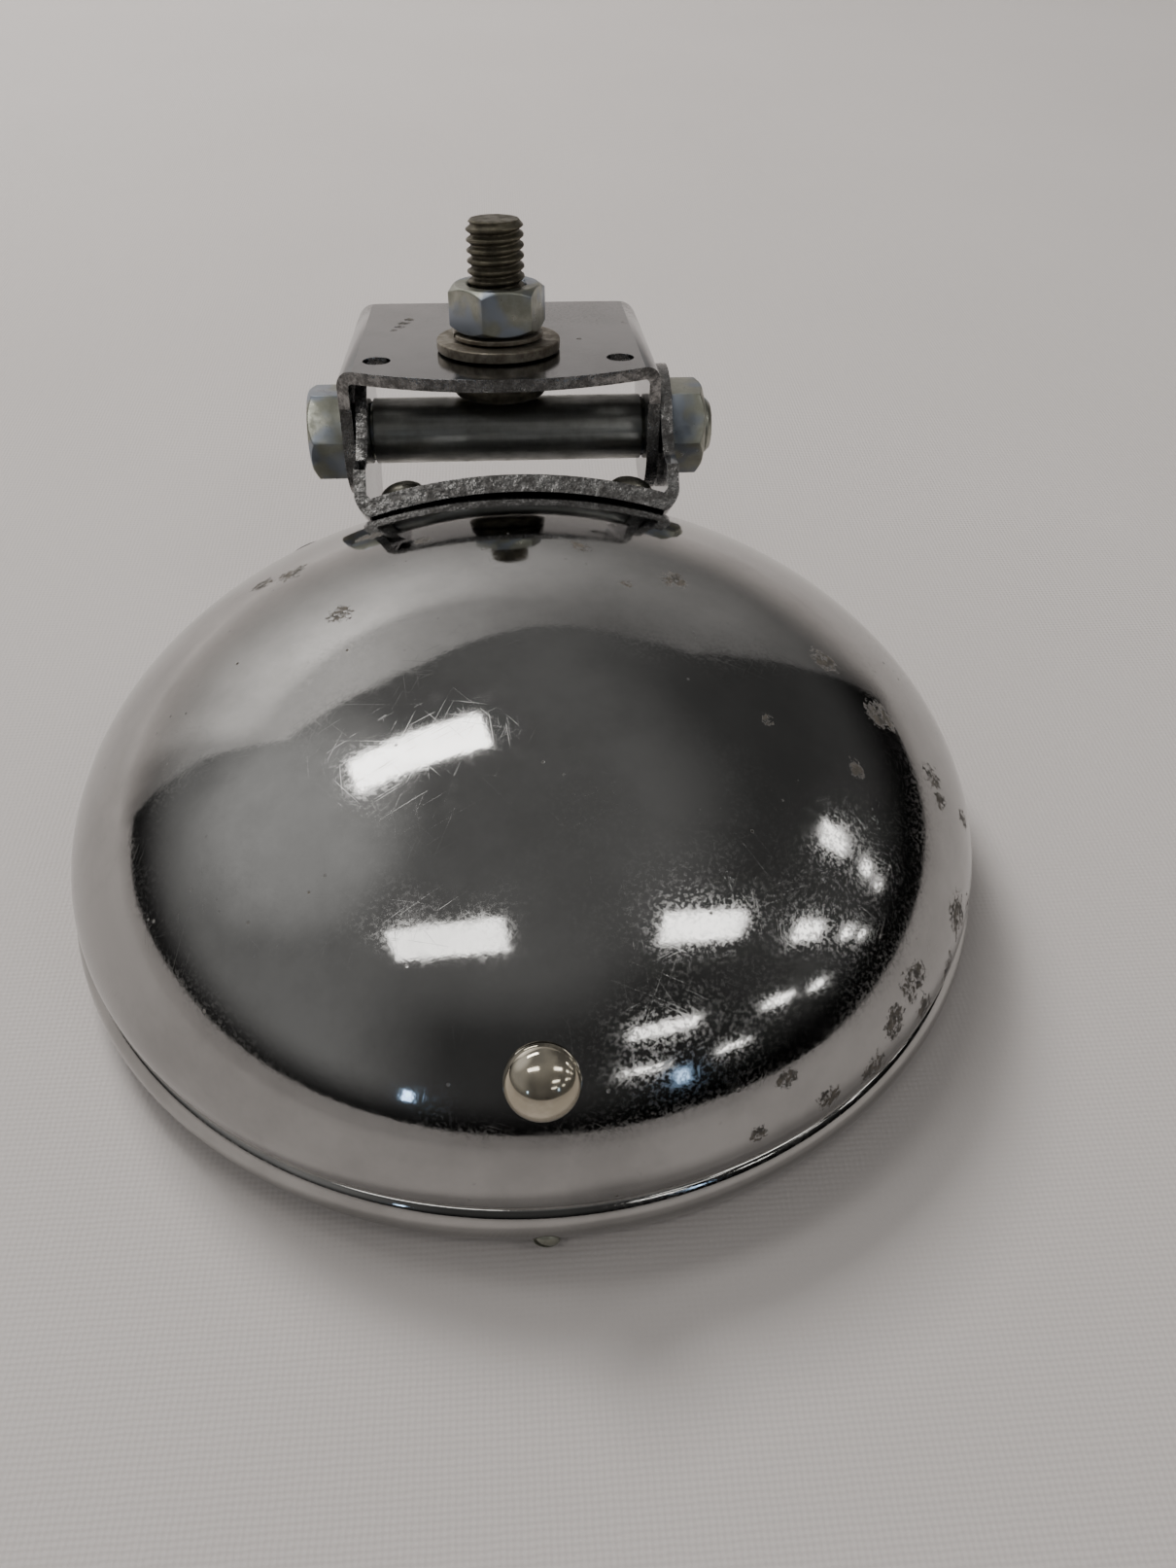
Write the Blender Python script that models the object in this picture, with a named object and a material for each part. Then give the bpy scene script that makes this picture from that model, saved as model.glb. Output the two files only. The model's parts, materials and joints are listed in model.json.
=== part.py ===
"""Round chrome-plated boat lamp on a two-bracket swivel mount.

The lamp rests on its front bezel, lens down, with its axis along +Z. The swivel
bracket sits on the +Y side of the domed shell. Sizes are in metres.
"""
import math

import bmesh
import bpy
from mathutils import Matrix

MM = 0.001

# ---- driving dimensions -------------------------------------------------
DOME_RADIUS = 66.5 * MM
DOME_HEIGHT = 36.3 * MM
DOME_RADIAL_POWER = 2.07
DOME_HEIGHT_POWER = 1.60
SHELL_WALL = 1.0 * MM
RIM_RADIUS = 66.3 * MM
RIM_DROP = 2.6 * MM
SPIGOT_RADIUS = 64.4 * MM
SPIGOT_END_Z = -9.2 * MM

BEAD_OUTER_RADIUS = 67.5 * MM
BEAD_UPPER_ROUND = 4.0 * MM
BEAD_LOWER_ROUND = 6.0 * MM
BEAD_DROP = 6.0 * MM
BEZEL_WALL = 1.0 * MM

LAMP_AXIS_Y = -16.218 * MM
EDGE_PLANE_Z = BEAD_DROP + BEAD_LOWER_ROUND
GAP = 0.3 * MM

BEAM_RADIUS = 56.4 * MM
REFLECTOR_FOCUS = 24.0 * MM
REFLECTOR_VERTEX_Z = 23.8 * MM

SADDLE_TILT = math.radians(42.7)
STUD_TILT = math.radians(9.5)
SHEET = 2.0 * MM
BRACKET_WIDTH = 53.2 * MM
PIVOT_ABOVE_STRAP = 11.0 * MM
SADDLE_CENTRE_X = 0.3 * MM
UPPER_CENTRE_X = SADDLE_CENTRE_X - SHEET - GAP
EAR_RADIUS = 10.5 * MM
PLATE_TOP = 13.6 * MM
PLATE_REAR = 33.5 * MM
PLATE_FRONT_SIDE = -10.5 * MM
PLATE_FRONT_MIDDLE = -18.0 * MM
STRAP_FRONT = -16.0 * MM
STRAP_REAR = 12.0 * MM
RIVET_HALF_SPACING = 19.3 * MM
RIVET_T = -8.0 * MM

BOLT_RADIUS = 4.7 * MM
HEX_CORNER_RADIUS = 8.25 * MM
TUBE_RADIUS = 5.5 * MM
WASHER_RADIUS = 10.4 * MM
STUD_EXPOSED = 9.8 * MM
STUD_NUT_HEIGHT = 8.2 * MM

PLUG_TILT = math.radians(48.5)
PLUG_AZIMUTH = math.radians(-90)
GROMMET_TILT = math.radians(60)
GROMMET_AZIMUTH = math.radians(125)
BEZEL_SCREW_Z = -7.6 * MM
PIVOT_HEAD_TURN = math.radians(0)
PIVOT_NUT_TURN = math.radians(7)
STUD_NUT_TURN = math.radians(12)

LAMP_SEGMENTS = 48
INNER_SEGMENTS = 36
SMALL_SEGMENTS = 16


# ---- scene and materials ------------------------------------------------
def clear_scene():
    for item in list(bpy.data.objects):
        bpy.data.objects.remove(item, do_unlink=True)


def make_material(name, colour, roughness, metallic, alpha=1.0):
    material = bpy.data.materials.new(name)
    material.use_nodes = True
    shader = material.node_tree.nodes["Principled BSDF"]
    shader.inputs["Base Color"].default_value = (*colour, 1.0)
    shader.inputs["Roughness"].default_value = roughness
    shader.inputs["Metallic"].default_value = metallic
    shader.inputs["Alpha"].default_value = alpha
    material.diffuse_color = (*colour, alpha)
    return material


def finish_mesh(name, bm, material, parent=None, location=(0, 0, 0), rotation=(0, 0, 0)):
    """Turn a bmesh into a named, smooth-shaded object that faces outward."""
    bmesh.ops.remove_doubles(bm, verts=bm.verts, dist=1e-7)
    bmesh.ops.recalc_face_normals(bm, faces=bm.faces)
    mesh = bpy.data.meshes.new(name)
    bm.to_mesh(mesh)
    bm.free()
    mesh.shade_smooth()
    mesh.set_sharp_from_angle(angle=math.radians(32))
    mesh.materials.append(material)
    item = bpy.data.objects.new(name, mesh)
    bpy.context.scene.collection.objects.link(item)
    item.parent = parent
    item.location = location
    item.rotation_euler = rotation
    return item


def make_empty(name, matrix, parent=None):
    item = bpy.data.objects.new(name, None)
    bpy.context.scene.collection.objects.link(item)
    item.parent = parent
    item.matrix_basis = matrix
    return item


# ---- shape helpers ------------------------------------------------------
def revolve(profile, segments):
    """Spin a closed (radius, height) outline about Z into a closed solid."""
    bm = bmesh.new()
    points = [bm.verts.new((radius, 0.0, height)) for radius, height in profile]
    edges = []
    for start, end in zip(points, points[1:] + points[:1]):
        on_axis = start.co.x < 1e-9 and end.co.x < 1e-9
        if not on_axis:
            edges.append(bm.edges.new((start, end)))
    bmesh.ops.spin(bm, geom=points + edges, cent=(0, 0, 0), axis=(0, 0, 1),
                   angle=2 * math.pi, steps=segments, use_merge=True)
    bmesh.ops.remove_doubles(bm, verts=bm.verts, dist=1e-7)
    return bm


def extrude_outline(outline, low, high):
    """Extrude a closed (x, y) outline along Z from low to high."""
    bm = bmesh.new()
    face = bm.faces.new([bm.verts.new((x, y, low)) for x, y in outline])
    result = bmesh.ops.extrude_face_region(bm, geom=[face])
    top = [part for part in result["geom"] if isinstance(part, bmesh.types.BMVert)]
    bmesh.ops.translate(bm, verts=top, vec=(0, 0, high - low))
    bmesh.ops.recalc_face_normals(bm, faces=bm.faces)
    return bm


def cylinder(radius, low, high, segments):
    return revolve([(0, high), (radius, high), (radius, low), (0, low)], segments)


def hexagon(corner_radius, turn=0.0):
    return [
        (corner_radius * math.cos(turn + k * math.pi / 3),
         corner_radius * math.sin(turn + k * math.pi / 3))
        for k in range(6)
    ]


def arc(centre, radius, start, end, steps):
    """Points on a circular arc, both ends included, angles in radians."""
    return [
        (centre[0] + radius * math.cos(start + (end - start) * k / steps),
         centre[1] + radius * math.sin(start + (end - start) * k / steps))
        for k in range(steps + 1)
    ]


def cut(item, bm, matrix=Matrix(), operation="DIFFERENCE"):
    """Boolean the tool mesh, placed by matrix in world space, into an object."""
    bmesh.ops.recalc_face_normals(bm, faces=bm.faces)
    mesh = bpy.data.meshes.new(item.name + "_tool")
    bm.to_mesh(mesh)
    bm.free()
    tool = bpy.data.objects.new(item.name + "_tool", mesh)
    bpy.context.scene.collection.objects.link(tool)
    tool.matrix_world = matrix
    tool.hide_render = True
    tool.display_type = "WIRE"
    modifier = item.modifiers.new("cut", "BOOLEAN")
    modifier.operation = operation
    modifier.solver = "EXACT"
    modifier.object = tool


# ---- lamp axis frame ----------------------------------------------------
def dome_height(radius):
    ratio = min(radius / DOME_RADIUS, 1.0) ** DOME_RADIAL_POWER
    return DOME_HEIGHT * (1.0 - ratio) ** (1.0 / DOME_HEIGHT_POWER)


def dome_normal_angle(radius):
    """Angle between the dome's outward normal and the lamp axis."""
    ratio = radius / DOME_RADIUS
    across = DOME_RADIAL_POWER * ratio ** (DOME_RADIAL_POWER - 1) / DOME_RADIUS
    height = dome_height(radius) / DOME_HEIGHT
    along = DOME_HEIGHT_POWER * height ** (DOME_HEIGHT_POWER - 1) / DOME_HEIGHT
    return math.atan2(across, along)


def dome_radius_at(normal_angle):
    """Radius where the dome's normal leans by the given angle, by halving."""
    low = 0.01 * DOME_RADIUS
    high = 0.9999 * DOME_RADIUS
    for _ in range(60):
        middle = (low + high) / 2
        if dome_normal_angle(middle) < normal_angle:
            low = middle
        else:
            high = middle
    return (low + high) / 2


def dome_frame(normal_angle, azimuth):
    """World matrix at a point of the dome: Z out along the normal."""
    radius = dome_radius_at(normal_angle)
    base = Matrix.Translation((0, LAMP_AXIS_Y, EDGE_PLANE_Z))
    turn = Matrix.Rotation(azimuth - math.pi / 2, 4, "Z")
    place = Matrix.Translation((0, radius, dome_height(radius)))
    lean = Matrix.Rotation(-normal_angle, 4, "X")
    return base @ turn @ place @ lean


def dome_profile(count, inset):
    """Dome points from the apex to the edge, moved inward along the normal."""
    points = [(0.0, DOME_HEIGHT - inset)]
    for k in range(1, count):
        share = math.sin(math.pi / 2 * k / count)
        radius = DOME_RADIUS * share ** (2 / DOME_RADIAL_POWER)
        angle = dome_normal_angle(radius)
        points.append((radius - inset * math.sin(angle),
                       dome_height(radius) - inset * math.cos(angle)))
    return points


def bead_point(angle, inset=0.0):
    """Point on the bezel's bead; angle 0 is outermost, -90 degrees the bottom."""
    rounding = BEAD_UPPER_ROUND if angle > 0 else BEAD_LOWER_ROUND
    centre_radius = BEAD_OUTER_RADIUS - rounding
    return (centre_radius + (rounding - inset) * math.cos(angle),
            -BEAD_DROP + (rounding - inset) * math.sin(angle))


# ---- lamp body ----------------------------------------------------------
def build_housing_shell(material):
    outer = dome_profile(14, 0.0)
    rim = [
        (DOME_RADIUS, 0.0),
        (DOME_RADIUS, -1.2 * MM),
        (RIM_RADIUS, -RIM_DROP),
        (SPIGOT_RADIUS, -RIM_DROP),
        (SPIGOT_RADIUS, SPIGOT_END_Z),
        (SPIGOT_RADIUS - SHELL_WALL, SPIGOT_END_Z),
        (SPIGOT_RADIUS - SHELL_WALL, -1.2 * MM),
        (DOME_RADIUS - SHELL_WALL, 0.2 * MM),
    ]
    inner = dome_profile(9, SHELL_WALL)
    profile = outer + rim + inner[::-1]
    shell = finish_mesh("housing_shell", revolve(profile, LAMP_SEGMENTS), material,
                        location=(0, LAMP_AXIS_Y, EDGE_PLANE_Z))
    hole_depth = 6 * MM
    cut(shell, cylinder(3.2 * MM, -hole_depth, hole_depth, SMALL_SEGMENTS),
        dome_frame(PLUG_TILT, PLUG_AZIMUTH))
    cut(shell, cylinder(5.0 * MM, -hole_depth, hole_depth, SMALL_SEGMENTS),
        dome_frame(GROMMET_TILT, GROMMET_AZIMUTH))
    cut(shell, cylinder(1.4 * MM, 55 * MM, 65.5 * MM, SMALL_SEGMENTS), bezel_screw_frame())
    for side in (-1, 1):
        cut(shell, cylinder(2.2 * MM, -hole_depth, hole_depth, SMALL_SEGMENTS), rivet_frame(side))
    return shell


def build_bezel(material):
    bead_angles = [math.radians(angle) for angle in (50, 34, 17, 0, -19, -38, -58)]
    outer = [bead_point(angle) for angle in bead_angles]
    bottom = -EDGE_PLANE_Z
    flat_radius = bead_point(math.radians(-78))[0]
    inner_flat_radius = bead_point(math.radians(-78), BEZEL_WALL)[0]
    lip = [
        (flat_radius, bottom),
        (58.6 * MM, bottom),
        (56.3 * MM, bottom + 0.9 * MM),
        (54.8 * MM, bottom + 2.6 * MM),
        (54.4 * MM, bottom + 4.0 * MM),
        (55.4 * MM, bottom + 4.0 * MM),
        (55.8 * MM, bottom + 2.9 * MM),
        (57.0 * MM, bottom + 1.7 * MM),
        (58.9 * MM, bottom + BEZEL_WALL),
        (inner_flat_radius, bottom + BEZEL_WALL),
    ]
    inner = [bead_point(angle, BEZEL_WALL) for angle in bead_angles]
    bezel = finish_mesh("bezel_ring", revolve(outer + lip + inner[::-1], LAMP_SEGMENTS), material,
                        location=(0, LAMP_AXIS_Y, EDGE_PLANE_Z))
    cut(bezel, cylinder(1.4 * MM, 62 * MM, 72 * MM, SMALL_SEGMENTS), bezel_screw_frame())
    cut(bezel, revolve([(0, 72 * MM), (2.7 * MM, 72 * MM), (2.7 * MM, 66.4 * MM),
                        (1.2 * MM, 64.9 * MM), (0, 64.9 * MM)], SMALL_SEGMENTS),
        bezel_screw_frame())
    return bezel


def bezel_screw_frame():
    """Frame on the lamp axis at the screw's height, Z pointing out along -Y."""
    return (Matrix.Translation((0, LAMP_AXIS_Y, EDGE_PLANE_Z + BEZEL_SCREW_Z))
            @ Matrix.Rotation(math.pi / 2, 4, "X"))


def build_bezel_screw(screw_material, nut_material):
    profile = [(0, 67.85 * MM), (1.2 * MM, 67.7 * MM), (2.3 * MM, 67.2 * MM), (2.3 * MM, 66.9 * MM),
               (1.1 * MM, 65.7 * MM), (1.1 * MM, 60.2 * MM), (0, 60.2 * MM)]
    screw = finish_mesh("bezel_screw", revolve(profile, SMALL_SEGMENTS), screw_material)
    screw.matrix_world = bezel_screw_frame()
    half = 2.3 * MM
    square = [(-half, -half), (half, -half), (half, half), (-half, half)]
    nut = finish_mesh("bezel_screw_nut", extrude_outline(square, 60.9 * MM, 62.8 * MM), nut_material)
    nut.matrix_world = bezel_screw_frame()
    cut(nut, cylinder(1.4 * MM, 60 * MM, 64 * MM, SMALL_SEGMENTS), bezel_screw_frame())


def build_sealed_beam(glass, silvered, steel, tungsten):
    """Sealed-beam unit: lens, silvered bowl, filament on two posts, two terminals."""
    place = (0, LAMP_AXIS_Y, EDGE_PLANE_Z)
    lens_rim = -5.2 * MM
    lens_radius = 51.0 * MM
    crown = 6.1 * MM
    lens_steps = 6
    front = [(lens_radius * k / lens_steps, lens_rim - crown * (1 - (k / lens_steps) ** 2))
             for k in range(lens_steps + 1)]
    back = [(radius * 0.98, height + 2.8 * MM) for radius, height in front]
    profile = back + [(lens_radius, lens_rim + 2.6 * MM), (BEAM_RADIUS, lens_rim + 2.6 * MM),
                      (BEAM_RADIUS, lens_rim)] + front[::-1]
    finish_mesh("sealed_beam_lens", revolve(profile, INNER_SEGMENTS), glass, location=place)

    mouth = lens_rim + 2.6 * MM + GAP
    bowl_steps = 9
    mouth_radius = math.sqrt(4 * REFLECTOR_FOCUS * (REFLECTOR_VERTEX_Z - mouth))
    inner = [(mouth_radius * k / bowl_steps,
              REFLECTOR_VERTEX_Z - (mouth_radius * k / bowl_steps) ** 2 / (4 * REFLECTOR_FOCUS))
             for k in range(bowl_steps + 1)]
    wall = 2.4 * MM
    outer = [(radius + wall * 0.55 * radius / mouth_radius, height + wall) for radius, height in inner[:-1]]
    flange_top = mouth + 2.6 * MM
    profile = outer + [(53.2 * MM, flange_top), (BEAM_RADIUS, flange_top), (BEAM_RADIUS, mouth)]
    profile += inner[::-1]
    finish_mesh("sealed_beam_reflector", revolve(profile, INNER_SEGMENTS), silvered, location=place)

    focus_z = EDGE_PLANE_Z + REFLECTOR_VERTEX_Z - REFLECTOR_FOCUS
    post_x = 6.0 * MM
    post_radius = 0.8 * MM
    post_top = EDGE_PLANE_Z + REFLECTOR_VERTEX_Z - post_x ** 2 / (4 * REFLECTOR_FOCUS) - 2 * GAP
    for side, name in ((-1, "left"), (1, "right")):
        finish_mesh("filament_post_" + name, cylinder(post_radius, focus_z - 1.2 * MM, post_top, 10), steel,
                    location=(side * post_x, LAMP_AXIS_Y, 0))
        terminal_x = side * 9.0 * MM
        terminal_base = EDGE_PLANE_Z + REFLECTOR_VERTEX_Z + wall + GAP
        post = finish_mesh("terminal_post_" + name, cylinder(3.2 * MM, 0, 3.2 * MM, SMALL_SEGMENTS), steel,
                           location=(terminal_x, LAMP_AXIS_Y, terminal_base))
        bore = Matrix.Translation((terminal_x, LAMP_AXIS_Y, terminal_base))
        cut(post, cylinder(1.5 * MM, 1.0 * MM, 6 * MM, SMALL_SEGMENTS), bore)
        screw = [(0, 5.2 * MM), (2.6 * MM, 5.2 * MM), (3.0 * MM, 4.8 * MM), (3.0 * MM, 3.5 * MM),
                 (1.2 * MM, 3.5 * MM), (1.2 * MM, 1.4 * MM), (0, 1.4 * MM)]
        finish_mesh("terminal_screw_" + name, revolve(screw, SMALL_SEGMENTS), steel,
                    location=(terminal_x, LAMP_AXIS_Y, terminal_base))
    finish_mesh("filament_coil", cylinder(0.9 * MM, -4.8 * MM, 4.8 * MM, 12), tungsten,
                location=(0, LAMP_AXIS_Y, focus_z), rotation=(0, math.pi / 2, 0))


def build_seal(rubber):
    """U-section rubber ring round the sealed beam's edge."""
    front = -5.2 * MM - GAP
    rear = -5.2 * MM + 5.5 * MM + GAP
    leg = 1.5 * MM
    inside = BEAM_RADIUS + GAP
    outside = inside + 1.6 * MM
    profile = [(54.2 * MM, rear + leg), (outside, rear + leg), (outside, front - leg),
               (54.2 * MM, front - leg), (54.2 * MM, front), (inside, front),
               (inside, rear), (54.2 * MM, rear)]
    finish_mesh("lens_seal_ring", revolve(profile, INNER_SEGMENTS), rubber,
                location=(0, LAMP_AXIS_Y, EDGE_PLANE_Z))


def build_retaining_clips(spring_steel):
    """Four bent strips that stand in the bezel's channel and press on the seal."""
    foot = -EDGE_PLANE_Z + BEZEL_WALL + GAP
    top = 2.5 * MM
    thick = 0.8 * MM
    outline = [(61.8 * MM, foot), (61.8 * MM, foot + thick), (60.4 * MM, foot + thick),
               (60.4 * MM, top + thick), (54.6 * MM, top + thick), (54.6 * MM, top),
               (59.6 * MM, top), (59.6 * MM, foot)]
    half_width = 4.5 * MM
    for number, azimuth in enumerate((45, 135, 225, 315), start=1):
        clip = finish_mesh("retaining_clip_%d" % number,
                           extrude_outline(outline, -half_width, half_width), spring_steel)
        clip.matrix_world = (Matrix.Translation((0, LAMP_AXIS_Y, EDGE_PLANE_Z))
                             @ Matrix.Rotation(math.radians(azimuth), 4, "Z")
                             @ Matrix.Rotation(math.pi / 2, 4, "X"))


def build_plug_button(nickel, spring_steel):
    """Snap-in domed plug in the shell, and the spring ring behind it."""
    frame = dome_frame(PLUG_TILT, PLUG_AZIMUTH)
    radius = 4.4 * MM
    height = 2.7 * MM
    base = 0.45 * MM
    steps = 6
    dome = [(radius * math.sin(math.pi / 2 * k / steps), base + height * math.cos(math.pi / 2 * k / steps))
            for k in range(steps + 1)]
    stem = [(radius, base - 0.05 * MM), (2.6 * MM, base - 0.05 * MM), (2.6 * MM, -4.6 * MM),
            (0, -4.6 * MM)]
    button = finish_mesh("plug_button", revolve(dome + stem, SMALL_SEGMENTS), nickel)
    button.matrix_world = frame
    ring = [(2.9 * MM, -1.8 * MM), (5.2 * MM, -1.8 * MM), (5.2 * MM, -2.6 * MM), (2.9 * MM, -2.6 * MM)]
    clip = finish_mesh("plug_spring_ring", revolve(ring, SMALL_SEGMENTS), spring_steel)
    clip.matrix_world = frame


def build_grommet(rubber):
    """Grooved cable grommet in the shell beside the saddle."""
    profile = [(2.2 * MM, 2.0 * MM), (5.0 * MM, 2.0 * MM), (6.2 * MM, 1.3 * MM), (6.2 * MM, 0.75 * MM),
               (4.6 * MM, 0.75 * MM), (4.6 * MM, -2.2 * MM), (6.2 * MM, -2.2 * MM),
               (5.6 * MM, -3.4 * MM), (2.2 * MM, -3.4 * MM)]
    grommet = finish_mesh("cable_grommet", revolve(profile, SMALL_SEGMENTS), rubber)
    grommet.matrix_world = dome_frame(GROMMET_TILT, GROMMET_AZIMUTH)


# ---- saddle bracket, fixed to the shell ---------------------------------
def saddle_matrix():
    """Frame at the pivot, Y along the strap towards the rim, Z off the dome."""
    lift = GAP + SHEET + PIVOT_ABOVE_STRAP
    return dome_frame(SADDLE_TILT, math.pi / 2) @ Matrix.Translation((0, 0, lift))


def strap_curve_radius():
    """Radius of the dome's cross-section under the strap."""
    return dome_radius_at(SADDLE_TILT) / math.sin(SADDLE_TILT) + GAP


def bracket_section(half_width, strap_radius, strap_top, ear_top, centre_x):
    """Closed U outline in (x, z): two ears and a strap curved to strap_radius."""
    centre_z = strap_top - SHEET - strap_radius
    bend = 2.6 * MM
    inner_half = half_width - SHEET
    reach_out = math.asin((half_width - bend) / strap_radius)
    reach_in = math.asin((inner_half - 0.6 * MM) / (strap_radius + SHEET))
    under = arc((0, centre_z), strap_radius, math.pi / 2 + reach_out, math.pi / 2 - reach_out, 12)
    over = arc((0, centre_z), strap_radius + SHEET, math.pi / 2 - reach_in, math.pi / 2 + reach_in, 12)
    corner_z = under[0][1]
    round_right = arc((half_width - bend, corner_z + bend), bend, -math.pi / 2, 0, 4)[1:]
    round_left = [(-x, z) for x, z in round_right][::-1]
    inner_z = over[0][1]
    outline = [(-half_width, ear_top)] + round_left + under + round_right
    outline += [(half_width, ear_top), (inner_half, ear_top), (inner_half, inner_z + 0.6 * MM)]
    outline += over + [(-inner_half, inner_z + 0.6 * MM), (-inner_half, ear_top)]
    return [(x + centre_x, z) for x, z in outline]


def extrude_along_y(outline, low, high):
    """Extrude an (x, z) outline along Y."""
    bm = extrude_outline(outline, -high, -low)
    bm.transform(Matrix.Rotation(math.pi / 2, 4, "X"))
    return bm


def extrude_along_x(outline, low, high):
    """Extrude a (y, z) outline along X."""
    bm = extrude_outline(outline, low, high)
    bm.transform(Matrix(((0, 0, 1, 0), (1, 0, 0, 0), (0, 1, 0, 0), (0, 0, 0, 1))))
    return bm


def along_x_cylinder(radius, low, high, segments):
    bm = cylinder(radius, low, high, segments)
    bm.transform(Matrix.Rotation(math.pi / 2, 4, "Y"))
    return bm


def build_saddle_bracket(material):
    half = BRACKET_WIDTH / 2
    strap_top = -PIVOT_ABOVE_STRAP
    frame = saddle_matrix()
    section = bracket_section(half, strap_curve_radius(), strap_top, EAR_RADIUS + 2 * MM, SADDLE_CENTRE_X)
    saddle = finish_mesh("saddle_bracket", extrude_along_y(section, STRAP_FRONT, STRAP_REAR), material)
    saddle.matrix_world = frame
    deep = strap_top - 12 * MM
    side = [(STRAP_FRONT - 1 * MM, deep), (STRAP_REAR + 1 * MM, deep), (STRAP_REAR + 1 * MM, strap_top + 0.5 * MM),
            (STRAP_REAR - 0.5 * MM, strap_top + 3 * MM), (EAR_RADIUS, strap_top + 7 * MM)]
    side += arc((0, 0), EAR_RADIUS, 0, math.pi, 12)
    side += [(-EAR_RADIUS, strap_top + 7 * MM), (-EAR_RADIUS - 2 * MM, strap_top + 3 * MM),
             (STRAP_FRONT - 1 * MM, strap_top + 0.5 * MM)]
    cut(saddle, extrude_along_x(side, -half - 5 * MM, half + 5 * MM), frame, "INTERSECT")
    cut(saddle, along_x_cylinder(BOLT_RADIUS + GAP, -half - 5 * MM, half + 5 * MM, SMALL_SEGMENTS), frame)
    for side_sign in (-1, 1):
        cut(saddle, cylinder(2.2 * MM, -8 * MM, 8 * MM, SMALL_SEGMENTS), rivet_frame(side_sign))


def rivet_frame(side):
    """Frame on the strap's top face at a rivet, Z along the head's axis."""
    top_radius = strap_curve_radius() + SHEET
    angle = side * math.asin(RIVET_HALF_SPACING / top_radius)
    centre_z = -PIVOT_ABOVE_STRAP - top_radius
    return (saddle_matrix() @ Matrix.Translation((SADDLE_CENTRE_X, RIVET_T, centre_z))
            @ Matrix.Rotation(angle, 4, "Y") @ Matrix.Translation((0, 0, top_radius)))


def build_rivets(material):
    head_radius = 3.8 * MM
    head_height = 1.5 * MM
    steps = 4
    dome = [(head_radius * math.sin(math.pi / 2 * k / steps),
             0.35 * MM + head_height * math.cos(math.pi / 2 * k / steps)) for k in range(steps + 1)]
    shank = 1.85 * MM
    tail_top = -5.4 * MM
    tail = [(shank, 0.35 * MM), (shank, tail_top), (3.2 * MM, tail_top), (2.6 * MM, tail_top - 1.3 * MM),
            (0, tail_top - 1.6 * MM)]
    for side, name in ((-1, "left"), (1, "right")):
        rivet = finish_mesh("saddle_rivet_" + name, revolve(dome + tail, 16), material)
        rivet.matrix_world = rivet_frame(side)


# ---- pivot bolt, tube and nut -------------------------------------------
def chamfered_hex(corner_radius, low, high, turn, chamfer_low, chamfer_high):
    """Hexagonal prism whose chosen ends are cut back by a cone."""
    bm = extrude_outline(hexagon(corner_radius, turn), low, high)
    flat_radius = corner_radius * math.cos(math.pi / 6)
    drop = (corner_radius - flat_radius) * math.tan(math.radians(30))
    low_corner = flat_radius if chamfer_low else corner_radius * 1.2
    high_corner = flat_radius if chamfer_high else corner_radius * 1.2
    low_start = low + drop if chamfer_low else low - 1 * MM
    high_start = high - drop if chamfer_high else high + 1 * MM
    low_end = low if chamfer_low else low - 1.5 * MM
    high_end = high if chamfer_high else high + 1.5 * MM
    wide = corner_radius * 1.0005
    cone = [(0, high_end), (high_corner, high_end), (wide, high_start), (wide, low_start),
            (low_corner, low_end), (0, low_end)]
    return bm, revolve(cone, 24)


def build_pivot(zinc, bolt_steel, tube_steel):
    frame = saddle_matrix()
    turn_x = Matrix.Rotation(math.pi / 2, 4, "Y")
    upper_left = UPPER_CENTRE_X - BRACKET_WIDTH / 2
    saddle_right = SADDLE_CENTRE_X + BRACKET_WIDTH / 2
    head_inner = upper_left - GAP
    head_outer = head_inner - 6.0 * MM
    nut_low = saddle_right + GAP
    nut_high = nut_low + 5.9 * MM
    shank_end = nut_high + 1.6 * MM

    body, cone = chamfered_hex(HEX_CORNER_RADIUS, head_outer, head_inner, PIVOT_HEAD_TURN, True, False)
    bolt = finish_mesh("pivot_bolt", body, zinc)
    bolt.matrix_world = frame @ turn_x
    cut(bolt, cone, frame @ turn_x, "INTERSECT")
    shank = revolve([(0, shank_end), (BOLT_RADIUS - 0.7 * MM, shank_end), (BOLT_RADIUS, shank_end - 0.8 * MM),
                     (BOLT_RADIUS, head_inner - 1 * MM), (0, head_inner - 1 * MM)], SMALL_SEGMENTS)
    cut(bolt, shank, frame @ turn_x, "UNION")

    body, cone = chamfered_hex(HEX_CORNER_RADIUS, nut_low, nut_high, PIVOT_NUT_TURN, False, True)
    nut = finish_mesh("pivot_nut", body, zinc)
    nut.matrix_world = frame @ turn_x
    cut(nut, cone, frame @ turn_x, "INTERSECT")
    cut(nut, cylinder(BOLT_RADIUS + GAP, nut_low - 2 * MM, nut_high + 2 * MM, SMALL_SEGMENTS), frame @ turn_x)

    tube_low = SADDLE_CENTRE_X - BRACKET_WIDTH / 2 + SHEET + GAP
    tube_high = UPPER_CENTRE_X + BRACKET_WIDTH / 2 - SHEET - GAP
    profile = [(TUBE_RADIUS, tube_high), (TUBE_RADIUS, tube_low),
               (BOLT_RADIUS + 0.2 * MM, tube_low), (BOLT_RADIUS + 0.2 * MM, tube_high)]
    tube = finish_mesh("spacer_tube", revolve(profile, 28), tube_steel)
    tube.matrix_world = frame @ turn_x


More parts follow.
